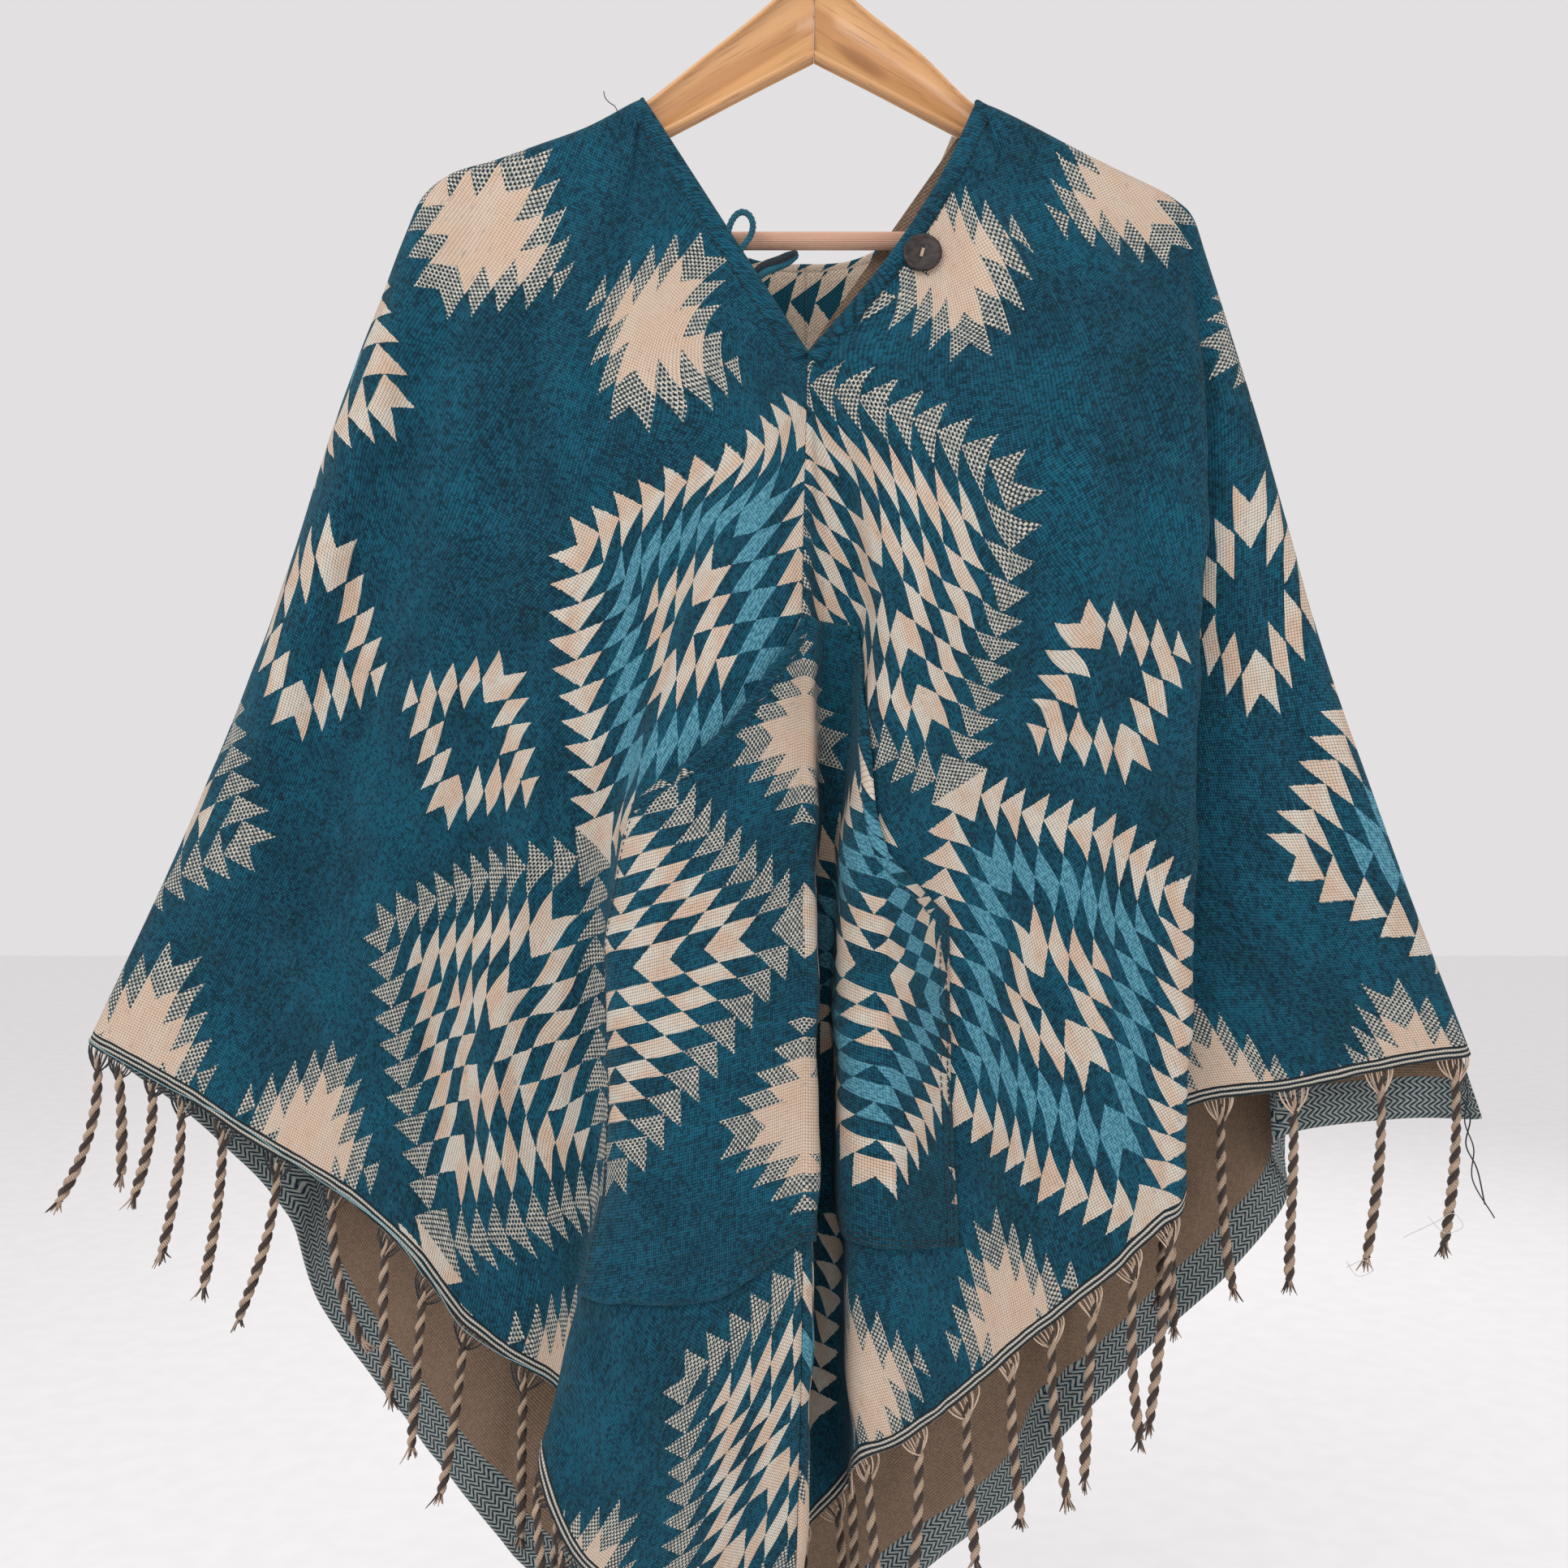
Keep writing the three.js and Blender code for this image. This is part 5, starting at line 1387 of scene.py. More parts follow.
def fringe(name, table, root_slots, seed):
    """All tassels of one front: for each, the fan of threads from the hem, two plies
    wound round each other, and the brush of cut ends."""
    points, run, down = hem_line(name)
    rng = np.random.default_rng(seed)
    pile = Pile()
    for at, lean, drop in table:
        middle = at * run[-1]
        root = (at_length(run, points, middle) + ROOT_BELOW * at_length(run, down, middle))[0]
        path = tassel_path(root, at, lean, drop)
        swell = np.interp(np.linspace(0, 1, TASSEL_STEPS), SWELL_AT, SWELL)
        waves = np.linspace(0, 9 + 4 * rng.random(), TASSEL_STEPS) + rng.uniform(0, 6)
        uneven = 1 + 0.08 * np.sin(waves)
        pitch = TWIST_PITCH * rng.uniform(0.9, 1.1)
        wound = plies(path, pitch, PLY_OFFSET * swell, 2, rng.uniform(0, 6))
        for slot, ply in enumerate(wound):
            pile.add(rings(ply, PLY_RADIUS * swell * uneven, 6), slot)
        spread = rng.uniform(7.5, 11)
        for k in range(ROOT_THREADS):
            side = (k / (ROOT_THREADS - 1) - 0.5) * 2 * spread + rng.normal(0, 0.6)
            place = np.clip(middle + side, 0, run[-1])
            start, way = (at_length(run, values, place)[0] for values in (points, down))
            knot = path[7] + rng.normal(0, 0.7, 3)
            s = np.linspace(0, 1, 6)[:, None]
            top, bend = start - 0.8 * way, start + 6.5 * way
            fan = top * (1 - s) ** 2 + 2 * bend * s * (1 - s) + knot * s ** 2
            pile.add(rings(fan, ROOT_RADII, 4), root_slots[k % len(root_slots)])
        tip, way = path[-3], unit(path[-1] - path[-6])
        for k in range(END_THREADS):
            out = rng.normal(0, 1, 3) * (1, 0.7, 0.2)
            length = rng.uniform(7, 12)
            s = np.linspace(0, 1, 4)[:, None]
            brush = tip + way * length * s + out * (1.6 * s + 1.1 * s ** 2)
            pile.add(rings(brush, BRUSH_RADII, 4), int(rng.random() < BEIGE_SHARE))
    return pile


FRINGE_YARNS = [yarn_dark, yarn_beige, yarn_inky, yarn_peach]
# Of each side: the tassels, the yarns of the threads at their roots, and the seed.
FRINGES = {
    "left": (TASSELS_LEFT, (2, 0, 2, 1), 21),
    "right": (TASSELS_RIGHT, (3, 1, 3, 0), 22),
}
for side_name, (table, root_slots, seed) in FRINGES.items():
    pile = fringe(f"front_{side_name}", table, root_slots, seed)
    obj = pile.mesh(f"fringe_{side_name}_yarn", FRINGE_YARNS)
    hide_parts(f"fringe_{side_name}")

# %% [markdown]
# The neck edge and the pocket's openings have a turned hem: the edge is folded under
# and stitched down. It shows as a soft roll, thicker than the cloth, with a line of
# stitches along its lower side. A flat loop carried along the edge makes the roll, and
# short tubes over it the stitches. The neck's hem is plain teal, without motifs.

# %% Turned hems
ROLL_WIDTH = 9.4
BELOW_ROLL = 9
# Across the roll: distance in from the edge, and height off the cloth's middle.
ROLL_PROFILE = np.array([
    (ROLL_WIDTH, 0.6), (8.7, 1.9), (6.8, 2.9), (4.0, 3.2), (1.4, 2.7), (-0.5, 1.7), (-1.2, 0.4),
    (-1.1, -0.8), (-0.2, -1.7), (1.7, -2.0), (5.4, -1.8), (8.6, -1.3), (ROLL_WIDTH, -0.6),
])


def turned_hem(edge, inward, normals, seed, size=1.0):
    """The loop of the roll at each point of an edge, breathing a little in height."""
    rng = np.random.default_rng(seed)
    count = len(edge)
    wave = 1 + 0.10 * np.sin(np.linspace(0, count * 0.35, count) + rng.uniform(0, 6))
    across = size * ROLL_PROFILE[:, 0][None, :, None] * inward[:, None]
    height = (size * ROLL_PROFILE[:, 1] * wave[:, None])[..., None] * normals[:, None]
    return edge[:, None] + across + height


def stitch_row(pile, line, normals, slot, length=2.6, every=3.9, radius=0.36, height=0.35):
    """Stitches along a line: each a short bowed tube that dips into the cloth at both
    ends, at even distances along the line."""
    run = length_along(line)
    for start in np.arange(every / 2, run[-1] - length, every):
        where = start + length * np.linspace(0, 1, 5)
        bow = height * np.sin(np.pi * np.linspace(-0.08, 1.08, 5))[:, None]
        points = at_length(run, line, where) + at_length(run, normals, where) * bow
        radii = radius * np.array([0.6, 1, 1, 1, 0.6])
        pile.add(rings(points, radii, 5, across=(0.1, 0.9, 0.2)), slot)


def square_to(edge, inner):
    """Directions from an edge towards inner points, made square to the edge."""
    along = unit(np.gradient(edge, axis=0))
    inward = unit(inner - edge)
    return unit(inward - along * np.einsum("ij,ij->i", inward, along)[:, None])


def neck_edge(name):
    """Edge, way in, normals and pattern coordinates of a front's neck, from the corner
    down to the point."""
    panel, shape = PANELS[name][0], shapes[name]
    corner = panel["names"].index("neck_corner")
    columns = shape["u"][0]
    chosen = columns >= corner if panel["left"] else columns <= corner
    order = np.flatnonzero(chosen)
    if not panel["left"]:
        order = order[::-1]
    edge, below = (shape["points"][row][order] for row in (0, BELOW_ROLL))
    weave = weave_map(name, shape["warp"], shape["weft"])[:BELOW_ROLL + 1, order]
    return edge, square_to(edge, below), unit(shape["normals"][BELOW_ROLL][order]), weave


def hem_mesh(name, edge, inward, normals, weave, seed, size=1.0, material=cloth_plain):
    """A turned hem in the cloth's own pattern. Each ring has the coordinates of its
    place on the edge, moved in with the profile."""
    pile = Pile()
    pile.add(turned_hem(edge, inward, normals, seed, size))
    obj = pile.mesh(name, [material])
    start, deeper = weave[0], weave[-1]
    way = (deeper - start) / np.maximum(np.linalg.norm(deeper - start, axis=-1, keepdims=True), 1e-9)
    rolled = start[:, None] + way[:, None] * (ROLL_PROFILE[:, 0] * MM)[None, :, None]
    by_point = np.concatenate([rolled.reshape(-1, 2), start[[0, -1]]])
    corners = np.zeros(len(obj.data.loops), dtype=np.int32)
    obj.data.loops.foreach_get("vertex_index", corners)
    for key in ("weave", "edge"):
        layer = obj.data.uv_layers.new(name=key)
        layer.data.foreach_set("uv", by_point[corners].astype(np.float32).ravel())
    return obj


THREAD_YARNS = [yarn_teal, yarn_inky, thread_white, thread_blue]
IN_TEAL, IN_INK, IN_WHITE, IN_BLUE = range(4)
hem_threads = Pile()
for name, seed in (("front_left", 31), ("front_right", 32)):
    edge, inward, normals, weave = neck_edge(name)
    side_name = name.removeprefix("front_")
    hem_mesh(f"neck_hem_{side_name}", edge, inward, normals, weave, seed,
                                    material=cloth_hem)
    stitch_row(hem_threads, edge + inward * ROLL_WIDTH + normals * 1.0, normals, IN_INK)

# %% Hems of the pocket and the hood
TOP_STITCH_IN = 6.6
# Column of the edge, an inner column, and how far in the stitches run.
SIDE_STITCHES = ((-1, -4, 2.0), (-1, -4, 6.0), (0, 3, 3))
top_in = square_to(pocket_points[0], pocket_points[4])
hem_mesh("pocket_top_hem", pocket_points[0], top_in, pocket_normals[0],
                                   pocket_weave[:5], 33, size=0.72)
line = pocket_points[0] + top_in * TOP_STITCH_IN + pocket_normals[0] * 1.0
stitch_row(hem_threads, line, pocket_normals[0], IN_TEAL)

low_columns = np.arange(0, seam_column - 8)
low_edge, low_normals = pocket_points[-1][low_columns], pocket_normals[-1][low_columns]
low_in = square_to(low_edge, pocket_points[-5][low_columns])
hem_mesh("pocket_low_hem", low_edge, low_in, low_normals,
                                   pocket_weave[:-6:-1][:, low_columns], 34, size=0.62)
for row in (-2, -3):
    rest = np.arange(seam_column - 8, pocket_points.shape[1])
    line = pocket_points[row][rest] + pocket_normals[row][rest] * 0.85
    stitch_row(hem_threads, line, pocket_normals[row][rest], IN_INK)
for column, inner, inset in SIDE_STITCHES:
    side, side_normals = pocket_points[2:, column], pocket_normals[2:, column]
    side_in = square_to(side, pocket_points[2:, inner])
    stitch_row(hem_threads, side + side_in * inset + side_normals * 0.9, side_normals, IN_INK)

for hand, name in HANDS:
    rim_points = hood_half(hand)
    rim_weave = hood_map(rim_points, hand)
    rim_normals = outward(rim_points, BACK)[0]
    rim_in = square_to(rim_points[0], rim_points[3])
    hem_mesh(f"hood_rim_{name}", rim_points[0], rim_in, rim_normals,
                                         rim_weave[:4], 35 + hand, size=0.5, material=cloth_hood_inside_lit)

# %% [markdown]
# The closure is a horn button and an eye of cord. The button is turned: a dish inside a
# raised rim, with a slot that a few strands of beige thread cross. Its surface is one
# closed grid that goes from the slot out over the front, round the rim and back along
# the underside. The eye and the stub of cord below it are twisted from teal plies.

# %% Button
BUTTON_RIM = 11.0
SLOT_HALF = (1.05, 3.5)
SLOT_TILT = math.radians(14)
# How far out from slot (0) to rim (1), and height over the middle of the button.
BUTTON_PROFILE = [
    (0.0, 0.55), (0.04, 0.8), (0.35, 0.8), (0.62, 0.85), (0.72, 1.25), (0.80, 1.58), (0.88, 1.6),
    (0.96, 1.35), (1.0, 0.7), (1.0, -0.5), (0.95, -1.3), (0.85, -1.6), (0.4, -1.6), (0.04, -1.6),
    (0.0, -1.4), (0.0, 0.55),
]
BUTTON_SIDES = 56


def seat_of(node, name):
    """Middle of a node's box in millimetres, and the cloth's normal beside it."""
    centre = np.mean(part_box(node), axis=0) / MM
    shape = shapes[name]
    away = np.hypot(shape["points"][..., 0] - centre[0], shape["points"][..., 2] - centre[2])
    around = shape["normals"][away < BUTTON_RIM].mean(axis=0)
    return centre, around / np.linalg.norm(around)


button_at, button_normal = seat_of("button", "front_right")
button_up = unit(np.cross(button_normal, np.cross([0.0, 0.0, 1.0], button_normal)))
button_right = np.cross(button_up, button_normal)
button_up = math.cos(SLOT_TILT) * button_up + math.sin(SLOT_TILT) * button_right
button_right = np.cross(button_up, button_normal)


def on_button(x, z, height):
    """A place on the button: right, up and out from its middle."""
    return button_at + np.multiply.outer(x, button_right) + np.multiply.outer(z, button_up) \
        + np.multiply.outer(height, button_normal)


turn = 2 * np.pi * np.arange(BUTTON_SIDES) / BUTTON_SIDES
share, height = (np.array(column)[:, None] for column in zip(*BUTTON_PROFILE))
x = ((1 - share) * SLOT_HALF[0] + share * BUTTON_RIM) * np.cos(turn)
z = ((1 - share) * SLOT_HALF[1] + share * BUTTON_RIM) * np.sin(turn)
button_grid = on_button(x, z, np.broadcast_to(height, x.shape))
button_quads = grid_faces(*button_grid.shape[:2], closed=True)
round_step, out_step = (button_grid[at] - button_grid[3, 0] for at in ((3, 1), (4, 0)))
if not np.dot(np.cross(round_step, out_step), button_normal) > 0:
    button_quads = button_quads[:, ::-1]

horn, horn_tree, horn_shader = new_material("button_horn", 0.5, sockets={"Specular IOR Level": 0.25})
horn_cloud = noise(horn_tree, object_point(horn_tree), 210, 4.0, stretch=(1, 1, 2.2))
horn_fleck = noise(horn_tree, object_point(horn_tree), 1400, 2.0)
horn_mix = (horn_cloud * 0.8 + horn_fleck * 0.3).clear_step(0.4, 0.75)
horn_colour = blend(horn_tree, horn_mix, (0.024, 0.019, 0.018), (0.056, 0.043, 0.040))
paint(horn_tree, horn_shader, horn_colour)
add_bump(horn_tree, horn_shader, horn_fleck, 0.06 * MM, 0.5)
button = new_mesh("button_turned", button_grid.reshape(-1, 3) * MM, button_quads, [horn])
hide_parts("button")

# A strand's places along the slot and its heights: it bridges the slot and dips in.
STRAND = [
    (-2.5, -1.0), (-2.45, 0.2), (-2.2, 0.95), (-1.2, 1.2), (0, 1.28), (1.2, 1.2), (2.2, 0.95),
    (2.45, 0.2), (2.5, -1.0),
]
STRAND_OFFSETS = (-0.62, -0.21, 0.2, 0.61)
button_threads = Pile()
for offset in STRAND_OFFSETS:
    along, over = curve(STRAND, 33).T
    thread = on_button(offset + 0.03 * along, along, over)
    button_threads.add(rings(thread, 0.27, 7, across=(1, 0.1, 0)), 0)
shank = on_button(np.zeros(5), np.zeros(5), np.linspace(-1.2, -2.9, 5))
button_threads.add(rings(shank, [0.8, 1.0, 1.1, 1.0, 0.9], 10, across=(1, 0, 0)), 0)
button_thread = button_threads.mesh("button_thread", [yarn_peach])
print("button at, mm", np.round(button_at, 1).tolist(), "faces", len(button.data.polygons))

# %% Loop and tail
# x, y, z of the cord's middle, from one foot behind the neck edge round to the other.
LOOP_ROUTE = [
    (-50.5, -13.6, -234), (-49.4, -15.0, -228.5), (-47.4, -16.4, -222), (-44.2, -16.8, -217.4),
    (-40.4, -16.9, -216), (-36.6, -16.8, -218.2), (-34.9, -16.6, -223.4), (-36.2, -16.3, -229),
    (-39.8, -15.4, -234), (-43.8, -14.0, -239),
]
TAIL_ROUTE = [
    (-41, -12.4, -256), (-34.5, -13.6, -252), (-28, -14.1, -247), (-19, -14.1, -243.5),
    (-9.5, -14.1, -238.4),
]
TAIL_THICK_AT, TAIL_THICK = [0, 0.15, 0.5, 0.85, 0.97, 1], [0.7, 1.0, 1.2, 1.2, 0.9, 0.35]
TAIL_STEPS = 60
# Of each cord: the length of one turn, how far its plies lie from the middle, their radius.
LOOP_PITCH, LOOP_OFFSET, LOOP_PLY = 7.5, 0.95, 0.98
TAIL_PITCH, TAIL_OFFSET, TAIL_PLY = 130, 1.5, 1.9
loop_pile = Pile()
loop_line = curve(LOOP_ROUTE, 90)
for ply in plies(loop_line, LOOP_PITCH, LOOP_OFFSET, 3, across=(0.05, 1, 0)):
    loop_pile.add(rings(ply, LOOP_PLY, 7), 0)
loop = loop_pile.mesh("loop_twisted", [yarn_teal])
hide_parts("button_loop")

tail_pile = Pile()
tail_line = curve(TAIL_ROUTE, TAIL_STEPS)
thick = np.interp(np.linspace(0, 1, TAIL_STEPS), TAIL_THICK_AT, TAIL_THICK)
tail_plies = plies(tail_line, TAIL_PITCH, TAIL_OFFSET * thick, 2, start=2.6, across=(0.05, 1, 0))
for number, ply in enumerate(tail_plies):
    tail_pile.add(rings(ply, TAIL_PLY * thick, 12), number)
tail = tail_pile.mesh("tail_twisted", [yarn_inky, yarn_teal])
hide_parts("button_loop_tail")
print("loop faces", len(loop.data.polygons), "tail faces", len(tail.data.polygons))

# %% [markdown]
# The hanger: two boards of ash, sawn to a curve, rounded over along their edges, mitred
# in the middle and varnished. Each arm is a row of rounded sections between its upper
# and its lower outline; where the arm turns down to the bar, the sections swing round
# the bar's shoulder. The grain runs along the arm, so it is worked out from turned
# coordinates; |x| serves both arms.

# %% Hanger arms
ARM_THICK, ARM_EASE, ARM_CLEAR = 12, 4, 2.9
# Upper and lower outline, station by station: out from the middle, height.
ARM_UPPER = [(0.15, -75), (7, -76.4), (14, -80), (32, -96), (62, -120)]
ARM_LOWER = [
    (0.15, -123), (7, -126.5), (15, -130.5), (36, -141.2), (68, -158), (98, -173.4),
    (127, -186.6), (186.3, -217.5), (186.3, -224), (186.3, -232), (188, -238.4), (193, -240),
    (199, -241.3),
]
ARM_STATIONS, SECTION_ARC = 96, 5
GRAIN_TILT = math.radians(-31)
WOOD_DARK, WOOD_PALE, WOOD_BAND = (0.47, 0.220, 0.078), (0.68, 0.350, 0.138), (0.74, 0.44, 0.22)
# The second colour on the next line is painted shade, for a patch near the right arm's underside.
WOOD_PORE, WOOD_SHADE_PATCH = (0.24, 0.105, 0.040), (0.22, 0.085, 0.032)


def arm_upper(hand):
    """The upper outline: the common part, along under the shoulder, and round the tip."""
    shoulder = SHOULDER_LEFT if hand < 0 else SHOULDER_RIGHT
    tip = shoulder[-1][0]
    under = [(out, height - ARM_CLEAR) for out, height in shoulder[:3]]
    end = [(tip - 15, shoulder[4][1] - 3), (tip - 11.6, -213), (tip - 11.0, -226)]
    return ARM_UPPER + under + end + [(tip - 14, -235), (tip - 21, -240.6)]


def arm_sections(hand):
    """Rounded rectangles from the mitre to the tip, shape (stations, points, 3)."""
    upper, lower = (curve(line, ARM_STATIONS) for line in (arm_upper(hand), ARM_LOWER))
    middle, reach = (upper + lower) / 2, np.linalg.norm(upper - lower, axis=1)[:, None] / 2
    rise = unit(upper - lower)
    ease = np.minimum(ARM_EASE, reach * 0.9)
    arc = np.linspace(0, np.pi / 2, SECTION_ARC)
    high, deep = [], []
    flat_deep = ARM_THICK / 2 - ARM_EASE
    corners = ((1, 1, arc), (1, -1, arc[::-1]), (-1, -1, arc), (-1, 1, arc[::-1]))
    for sign_high, sign_deep, sweep in corners:
        high.append(sign_high * (reach - ease + ease * np.sin(np.pi / 2 - sweep)))
        deep.append(sign_deep * (flat_deep + ARM_EASE * np.sin(sweep)) * np.ones_like(reach))
    high, deep = np.concatenate(high, axis=1), np.concatenate(deep, axis=1)
    flat = middle[:, None] + rise[:, None] * high[..., None]
    return np.stack([hand * flat[..., 0], deep, flat[..., 1]], axis=-1)


def wood_material():
    """Varnished ash: bands across the grain that wander along it, fine pores, and a darker patch on the
    right arm beside the mitre, painted shade near the arm's underside."""
    material, tree, shader = new_material(
        "arm_wood", 0.36, sockets={"Coat Weight": 0.2, "Coat Roughness": 0.22})
    split = tree.nodes.new("ShaderNodeSeparateXYZ")
    tree.links.new(object_point(tree), split.inputs[0])
    x, y, z = (Field(tree, split.outputs[key]) for key in "XYZ")
    along = abs(x) * math.cos(GRAIN_TILT) + z * math.sin(GRAIN_TILT)
    across = z * math.cos(GRAIN_TILT) - abs(x) * math.sin(GRAIN_TILT)
    is_right = x > 0
    grain_place = place_of(tree, along * 0.10 + is_right * 3.1, across, y * 0.8)
    sway = noise(tree, grain_place, 26, 3.0)
    bands = ((across * 210 + sway * 9 + y * 60).sine() * 0.5 + 0.5).clear_step(0.15, 1.0)
    pores = noise(tree, grain_place, 900, 2.0, stretch=(0.35, 1, 1)).clear_step(0.56, 0.70)
    cloud = noise(tree, grain_place, 60, 3.0)
    # A darker patch on the right arm, low beside the mitre: painted shade near the arm's underside.
    shade_patch_x, shade_patch_z = abs(x - 27 * MM) / (17 * MM), abs(across + 92 * MM) / (5 * MM)
    shade_patch = (1 - (shade_patch_x * shade_patch_x + shade_patch_z * shade_patch_z + sway * 0.5).clear_step(0.3, 1.5)) * is_right
    colour = blend(tree, (cloud * 0.7 + bands * 0.35).clear_step(0.3, 0.85), WOOD_DARK, WOOD_PALE)
    colour = blend(tree, bands * 0.30, colour, WOOD_BAND)
    colour = blend(tree, pores * 0.42, colour, WOOD_PORE)
    colour = blend(tree, shade_patch * 0.55, colour, WOOD_SHADE_PATCH)
    paint(tree, shader, colour)
    add_bump(tree, shader, 1 - pores * 0.8 - bands * 0.15, 0.10 * MM, 0.5)
    return material


arm_wood = wood_material()
for hand, name in HANDS:
    pile = Pile()
    pile.add(arm_sections(hand))
    arm = pile.mesh(f"arm_{name}_varnished", [arm_wood])
    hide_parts(f"hanger_arm_{name}")

# %% [markdown]
# The trouser bar is a dowel with fine flutes along it, so that cloth doesn't slip, and
# its colour is paler and pinker than the arms', with painted shade in the flutes' grooves. The hook is
# bent from bright wire.

# %% Bar and hook
BAR_HALF, BAR_RADIUS, BAR_Z = 186, 5.15, -226.5
FLUTES, FLUTE_DEPTH = 30, 0.34
# The third colour is painted shade for the grooves of the flutes.
BAR_DARK, BAR_PALE, BAR_GROOVE_SHADE = (0.54, 0.315, 0.215), (0.70, 0.435, 0.320), (0.30, 0.140, 0.080)
flute_turn = 2 * np.pi * np.arange(FLUTES * 5) / (FLUTES * 5)
flute_radius = BAR_RADIUS - FLUTE_DEPTH * np.abs(np.cos(flute_turn * FLUTES / 2)) ** 3
bar_x = np.array([-BAR_HALF, -185.6, -184.6, -120, -60, 0, 60, 120, 184.6, 185.6, BAR_HALF])
bar_end = np.array([0.80, 0.92, 1, 1, 1, 1, 1, 1, 1, 0.92, 0.80])
bar_sections = np.stack(np.broadcast_arrays(
    bar_x[:, None],
    bar_end[:, None] * flute_radius * np.cos(flute_turn),
    BAR_Z + bar_end[:, None] * flute_radius * np.sin(flute_turn)), axis=-1)

bar_material, bar_tree, bar_shader = new_material("bar_wood", 0.55)
bar_grain = noise(bar_tree, object_point(bar_tree), 90, 4.0, stretch=(0.05, 1, 1))
# Darker in the grooves of the flutes: painted shade.
bar_groove_shade = 1 - abs((uv_fields(bar_tree, "yarn")[1] * (FLUTES * math.pi)).sine())
bar_colour = blend(bar_tree, bar_grain.clear_step(0.35, 0.65), BAR_DARK, BAR_PALE)
bar_colour = blend(bar_tree, bar_groove_shade.clear_step(0.35, 0.9) * 0.75, bar_colour, BAR_GROOVE_SHADE)
paint(bar_tree, bar_shader, bar_colour)
bar_pile = Pile()
bar_pile.add(bar_sections)
bar = bar_pile.mesh("bar_fluted", [bar_material])
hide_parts("hanger_bar")

HOOK_WIRE, HOOK_RADIUS, HOOK_CENTRE_Z = 1.9, 21.9, -20
hook_arc = np.radians(np.linspace(-52, 195, 64))
hook_z = HOOK_CENTRE_Z + HOOK_RADIUS * np.sin(hook_arc)
hook_round = np.stack([HOOK_RADIUS * np.cos(hook_arc), hook_z], axis=-1)
HOOK_SHANK = [(0, -97.6), (0, -86), (0, -75), (0, -65), (4.8, -52.5)]
hook_shank = curve([*HOOK_SHANK, tuple(hook_round[0])], 40)[:-1]
hook_flat = np.concatenate([hook_shank, hook_round])
hook_line = np.insert(hook_flat, 1, 0.0, axis=1)
hook_tip = hook_line[-1] + unit(hook_line[-1] - hook_line[-2]) * np.array([[0.7], [1.2], [1.45]])
hook_line = np.concatenate([hook_line, hook_tip])
hook_radii = np.concatenate([np.full(len(hook_flat), HOOK_WIRE), [1.72, 1.3, 0.6]])

steel, steel_tree, steel_shader = new_material("hook_steel", 0.16, sockets={"Metallic": 1.0})
steel_smear = noise(steel_tree, object_point(steel_tree), 120, 3.0)
steel_colour = blend(steel_tree, steel_smear, (0.60, 0.61, 0.63), (0.76, 0.77, 0.78))
paint(steel_tree, steel_shader, steel_colour)
hook_pile = Pile()
hook_pile.add(rings(hook_line, hook_radii, 20))
hook = hook_pile.mesh("hook_wire", [steel])
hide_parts("hanger_hook")
print("bar faces", len(bar.data.polygons), "hook faces", len(hook.data.polygons))

# %% [markdown]
# Handwork leaves ends. A few threads hang loose: a chain of black overlock stitches at
# the right wrist, pale ties on two tassels, a dark end at the left shoulder, a white one
# at the pocket, and light-blue basting along the left hem.

# %% Loose threads


def nearest(name, x, z):
    """Point and normal of a panel nearest to a place seen from the front."""
    shape = shapes[name]
    xs, ys, zs = np.moveaxis(shape["points"], -1, 0)
    away = np.hypot(xs - x, zs - z) + 0.02 * ys
    at = np.unravel_index(np.argmin(away), away.shape)
    return shape["points"][at], shape["normals"][at]


# Each thread: its yarn, thickness, and its places x, y, z in millimetres.
LOOSE = [
    (IN_INK, 0.45, [
        (370, -2, -703), (372, -3, -718), (378, -2, -732), (376, -1, -748), (382, -2, -762),
        (386, -3, -782)]),
    (IN_INK, 0.40, [
        (371, -1, -703), (376, -3, -716), (374, -4, -734), (380, -2, -750), (379, -3, -768),
        (392, -2, -790)]),
    (IN_WHITE, 0.22, [
        (352, -6, -788), (361, -7, -797), (372, -6, -794), (366, -7, -786), (356, -7, -791),
        (338, -6, -800)]),
    (IN_WHITE, 0.22, [
        (303, -12, -812), (309, -13, -820), (318, -12, -817), (313, -13, -811), (303, -13, -815)]),
]
for slot_number, radius, places in LOOSE:
    line = curve(places, 10 * len(places))
    hem_threads.add(rings(line, radius, 5, across=(0.1, 1, 0)), slot_number)

SHOULDER_END = [(0, 0, 0), (-2, -0.6, 4), (-5, -1.0, 6), (-7.5, -0.6, 9), (-8.5, 0, 13)]
shoulder_at, shoulder_out = nearest("front_left", -112, -158)
thread = shoulder_at + shoulder_out * 0.9 + np.array(SHOULDER_END)
hem_threads.add(rings(curve(thread, 24), 0.28, 5), IN_INK)

WHITE_END = [(-3, 0, -0.8), (-1, -0.5, 0.1), (1, -0.5, 0.3), (2.6, 0, 0.9)]
white_row = int(np.argmin(np.abs(pocket_points[:, -6, 2] + 640)))
white_at = pocket_points[white_row, seam_column + 18]
white_out = pocket_normals[white_row, seam_column + 18]
thread = white_at + white_out * 1.5 + np.array(WHITE_END)
hem_threads.add(rings(curve(thread, 14), 0.3, 5), IN_WHITE)

points, run, down = hem_line("front_left")
normals = shapes["front_left"]["normals"][-1]
for start, end, phase in ((0.0, 0.42, 0.0), (0.30, 0.66, 1.7)):
    where = np.linspace(start, end, 260) * run[-1]
    at, out, way = (at_length(run, values, where) for values in (points, normals, down))
    wander = 3.2 * np.sin(where / 23 + phase) * np.sin(where / 61 + 2 * phase) - 1.8
    lifted = 1.35 + 0.5 * np.sin(where / 9 + phase)
    hem_threads.add(rings(at + way * wander[:, None] + out * lifted[:, None], 0.24, 4), IN_BLUE)

threads = hem_threads.mesh("sewing_threads", THREAD_YARNS)
print("thread faces", len(threads.data.polygons))
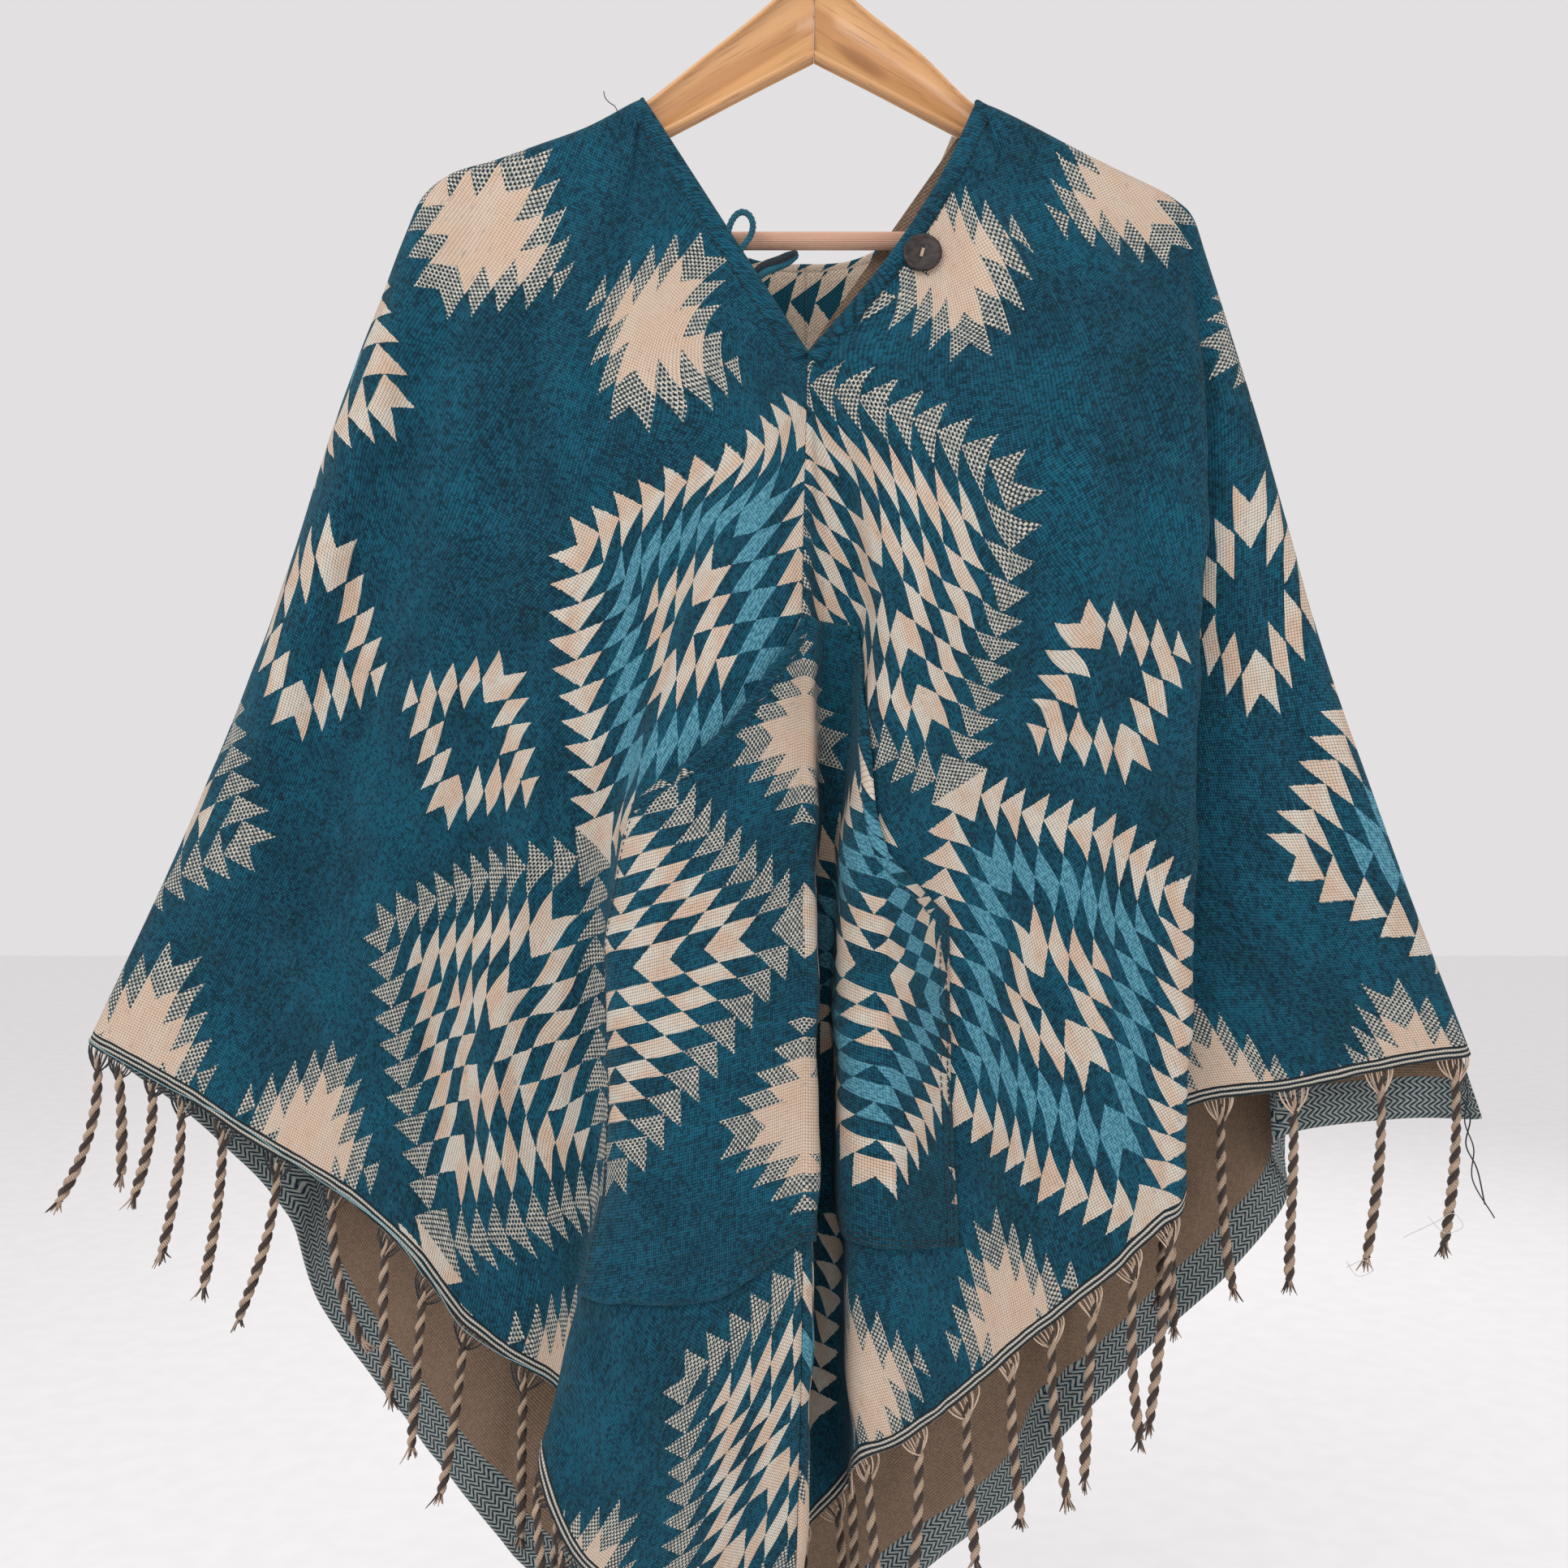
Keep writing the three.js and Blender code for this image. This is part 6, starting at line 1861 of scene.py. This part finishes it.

# %% [markdown]
# Each sheet of cloth has its flat cut given here, and the area of its mesh is printed
# beside the cut's. A panel's cut comes from the pattern: it spans 659 mm of warp and as much of weft,
# with the shoulder and the neck cut off. The area on the mesh differs a little, because
# some cloth is turned into hems and some is eased into the folds.

# %% Sheets


def sheet_area(obj):
    """Area of an object's own mesh in square metres, before the wall is added."""
    areas = np.zeros(len(obj.data.polygons), dtype=np.float32)
    obj.data.polygons.foreach_get("area", areas)
    return float(areas.sum())


PANEL_CUT, PANEL_AREA = (0.66, 0.66), 0.257
POCKET_CUT, POCKET_AREA = (0.35, 0.36), 0.090
HOOD_CUT, HOOD_AREA = (0.30, 0.36), 0.078

for name, obj in panels.items():
    side_name = name.split("_")[1]
    print(name, "area, cut and cloth", PANEL_AREA, round(sheet_area(obj), 4))
print("pocket area, cut and cloth", POCKET_AREA, round(sheet_area(pocket), 4))
for name, obj in hoods.items():
    print("hood", name, "area, cut and cloth", HOOD_AREA, round(sheet_area(obj), 4))

# %% [markdown]
# Floor, light and camera. The camera stands where the photograph was taken from: level,
# 0.9 m in front. The light is soft, from above and a little to the left, with a pale
# world all round, so the cloth keeps its colour and the folds still read. The picture
# shows colours as they are, without a film's curve.

# %% Stage
CAMERA_AT = (-17.3 * MM, -900 * MM, -540 * MM)
FIELD_OF_VIEW = math.radians(53.4)
FLOOR_Z, FLOOR_HALF = -1.30, 6.0
WORLD_COLOUR = (0.762, 0.746, 0.750, 1)

camera_data = bpy.data.cameras.new("camera")
camera_data.angle = FIELD_OF_VIEW
camera = bpy.data.objects.new("camera", camera_data)
camera.location = CAMERA_AT
camera.rotation_euler = (math.pi / 2, 0, 0)
bpy.context.collection.objects.link(camera)
bpy.context.scene.camera = camera


def soft_light(name, place, target, size, power):
    """A square area light at place that points at target."""
    data = bpy.data.lights.new(name, "AREA")
    data.size = size
    data.energy = power
    obj = bpy.data.objects.new(name, data)
    obj.location = place
    way = np.subtract(target, place)
    flat = math.hypot(way[0], way[1])
    obj.rotation_euler = (math.atan2(flat, -way[2]), 0, math.atan2(-way[0], way[1]))
    bpy.context.collection.objects.link(obj)


# Name, place, width in metres and power in watts.
LIGHTS = [
    ("key", (-0.9, -1.7, 0.75), 1.3, 22),
    ("fill", (1.6, -1.4, -0.3), 1.8, 5),
    ("rear", (0.6, 1.9, 0.5), 1.8, 12),
]
for name, place, width, power in LIGHTS:
    soft_light(name, place, (0, 0, -0.55), width, power)

world = bpy.data.worlds.new("world")
world.use_nodes = True
world.node_tree.nodes["Background"].inputs["Color"].default_value = WORLD_COLOUR
world.node_tree.nodes["Background"].inputs["Strength"].default_value = 1.0
bpy.context.scene.world = world
bpy.context.scene.view_settings.view_transform = "Standard"

floor_material, floor_tree, floor_shader = new_material("floor", 0.8)
floor_shade = noise(floor_tree, object_point(floor_tree), 30, 4.0).clear_step(0.3, 0.7)
floor_colour = blend(floor_tree, floor_shade, (0.91, 0.895, 0.90), (0.94, 0.925, 0.93))
paint(floor_tree, floor_shader, floor_colour)
floor_points = FLOOR_HALF * np.array([(-1, -1), (1, -1), (1, 1), (-1, 1)])
floor_points = np.insert(floor_points, 2, FLOOR_Z, axis=1)
floor = new_mesh("floor", floor_points, np.array([[0, 1, 2, 3]]), [floor_material])
print("camera", CAMERA_AT, "floor at", FLOOR_Z)
